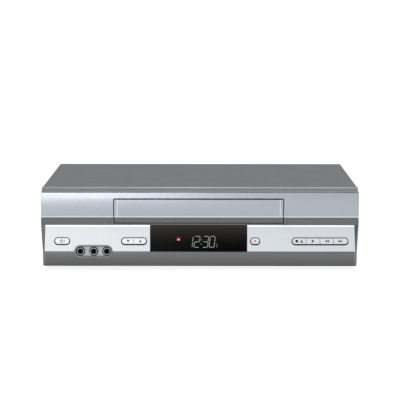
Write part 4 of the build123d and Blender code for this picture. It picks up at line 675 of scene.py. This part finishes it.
def long_bead(name, centre, radius, last_turn, material):
    """Part-round strip along X, from straight up to a turn in degrees towards the front."""
    outline = []
    for i in range(bead_steps + 1):
        turn = math.radians(last_turn * i / bead_steps)
        outline.append((centre[0] - radius * math.sin(turn), centre[1] + radius * math.cos(turn)))
    outline.append(centre)
    count = len(outline)
    vertices = [(side * bead_reach, y, z) for side in (-1, 1) for y, z in outline]
    faces = [list(range(count)), list(reversed(range(count, 2 * count)))]
    faces += [[i, count + i, count + (i + 1) % count, (i + 1) % count] for i in range(count)]
    piece = mesh_object(name, vertices, faces)
    for face in piece.data.polygons:
        face.use_smooth = len(face.vertices) == 4
    dress(piece, "root", material)


long_bead("ridge_bead", ridge_crest, ridge_round, ridge_turn, ridge_highlight_silver)
long_bead("band_top_round", band_crest, band_round, band_turn, band)


# ======== Cross recesses of the screws, as dark crosses of painted shade ===
cross_size, cross_width = 3.4, 0.9
screw_level, side_screw_y, side_face = 15 * MM, 72.5 * MM, 179.95 * MM
rear_screw_x, rear_screw_level, rear_face = 150 * MM, 89.5 * MM, 106.1 * MM


def outward_frame(centre, out):
    """Placing function for flat outlines in millimetres on a face that looks along out."""
    across = Vector((-out.y, out.x, 0))

    def place(x, level, height):
        return centre + across * x * MM + Vector((0, 0, level * MM)) + out * height * MM

    return place


def cross(name, centre, out):
    """Dark cross of painted shade in a screw head's cross recess, two bars that just stand on it."""
    outlines = [rectangle(0, 0, cross_size, cross_width), rectangle(0, 0, cross_width, cross_size)]
    piece = raised(name, outlines, -ink, ink, outward_frame(centre, out))
    dress(piece, "root", ink_and_shade_dark)


for side, side_name in ((-1, "left"), (1, "right")):
    outward = Vector((side, 0, 0))
    for y, y_name in ((-side_screw_y, "front"), (side_screw_y, "back")):
        cross(f"{side_name}_{y_name}_cross", Vector((side * side_face, y, screw_level)), outward)
for number, x in enumerate((-rear_screw_x, 0, rear_screw_x)):
    cross(f"rear_cross_{number + 1}", Vector((x, rear_face, rear_screw_level)), Vector((0, 1, 0)))


# ======== Floor, lights and camera ========
floor_size = 400.0
floor_drop = 0.0001
floor_glow = 0.84
zenith_light = 1.3
horizon_light = 0.6
air_tint = (0.97, 0.985, 1.0, 1)
softboxes = {
    "key_light": dict(
        place=(-0.485, -1.5, 0.385), aim=(-0.485, 0, 0.385), size=(0.83, 0.73), power=8.5,
        tint=(1.0, 0.985, 0.955),
    ),
    "right_light": dict(
        place=(1.6, -0.35, 0.35), aim=(0.15, -0.1, 0.04), size=(0.9, 0.6), power=6.5,
        tint=(0.92, 0.96, 1.0),
    ),
    "left_light": dict(place=(-1.6, -0.35, 0.35), aim=(-0.15, -0.1, 0.04), size=(0.9, 0.6), power=0.8),
    "top_light": dict(place=(0, -0.25, 1.6), aim=(0, -0.1, 0.09), size=(1.6, 0.7), power=9.0),
}


def lay_floor():
    """White floor that gives off enough light to read as plain paper."""
    h = floor_size / 2
    floor = mesh_object("floor", [(-h, -h, 0), (h, -h, 0), (h, h, 0), (-h, h, 0)], [(0, 1, 2, 3)])
    floor.location.z = -floor_drop
    paper = surface("floor", (135, 135, 136), 0.9, mottle=0.01, mottle_scale=3, specular=0.0)
    give_light(paper, (255, 255, 255), floor_glow)
    floor.data.materials.append(paper)


def softbox(name, place, aim, size, power, tint=(1, 1, 1)):
    """Rectangular light at a place, turned to what it aims at."""
    light = bpy.data.lights.new(name, "AREA")
    light.shape = "RECTANGLE"
    light.size, light.size_y = size
    light.energy = power
    light.color = tint
    lamp_object = bpy.data.objects.new(name, light)
    bpy.context.scene.collection.objects.link(lamp_object)
    lamp_object.location = place
    lamp_object.rotation_euler = (Vector(aim) - Vector(place)).to_track_quat("-Z", "Y").to_euler()


def studio_air():
    """Surrounding light, brighter overhead than at the horizon."""
    world = bpy.data.worlds.new("studio")
    world.use_nodes = True
    tree = world.node_tree
    place = tree.nodes.new("ShaderNodeTexCoord")
    split = tree.nodes.new("ShaderNodeSeparateXYZ")
    fade = tree.nodes.new("ShaderNodeMapRange")
    fade.inputs["To Min"].default_value = horizon_light
    fade.inputs["To Max"].default_value = zenith_light
    tree.links.new(place.outputs["Generated"], split.inputs["Vector"])
    tree.links.new(split.outputs["Z"], fade.inputs["Value"])
    tree.links.new(fade.outputs["Result"], tree.nodes["Background"].inputs["Strength"])
    tree.nodes["Background"].inputs["Color"].default_value = air_tint
    bpy.context.scene.world = world


lay_floor()
for light_name, settings in softboxes.items():
    softbox(light_name, **settings)
studio_air()
bpy.context.scene.view_settings.view_transform = "Standard"

camera_data = bpy.data.cameras.new("camera")
camera_data.lens = camera_lens
camera_data.sensor_width = camera_sensor
camera_data.clip_end = camera_reach
camera = bpy.data.objects.new("camera", camera_data)
bpy.context.scene.collection.objects.link(camera)
camera.location = camera_place
heading = Euler((math.radians(90 - camera_pitch), 0, math.radians(camera_yaw))).to_matrix()
camera.rotation_euler = (heading @ Matrix.Rotation(math.radians(camera_roll), 3, "Z")).to_euler()
bpy.context.scene.camera = camera
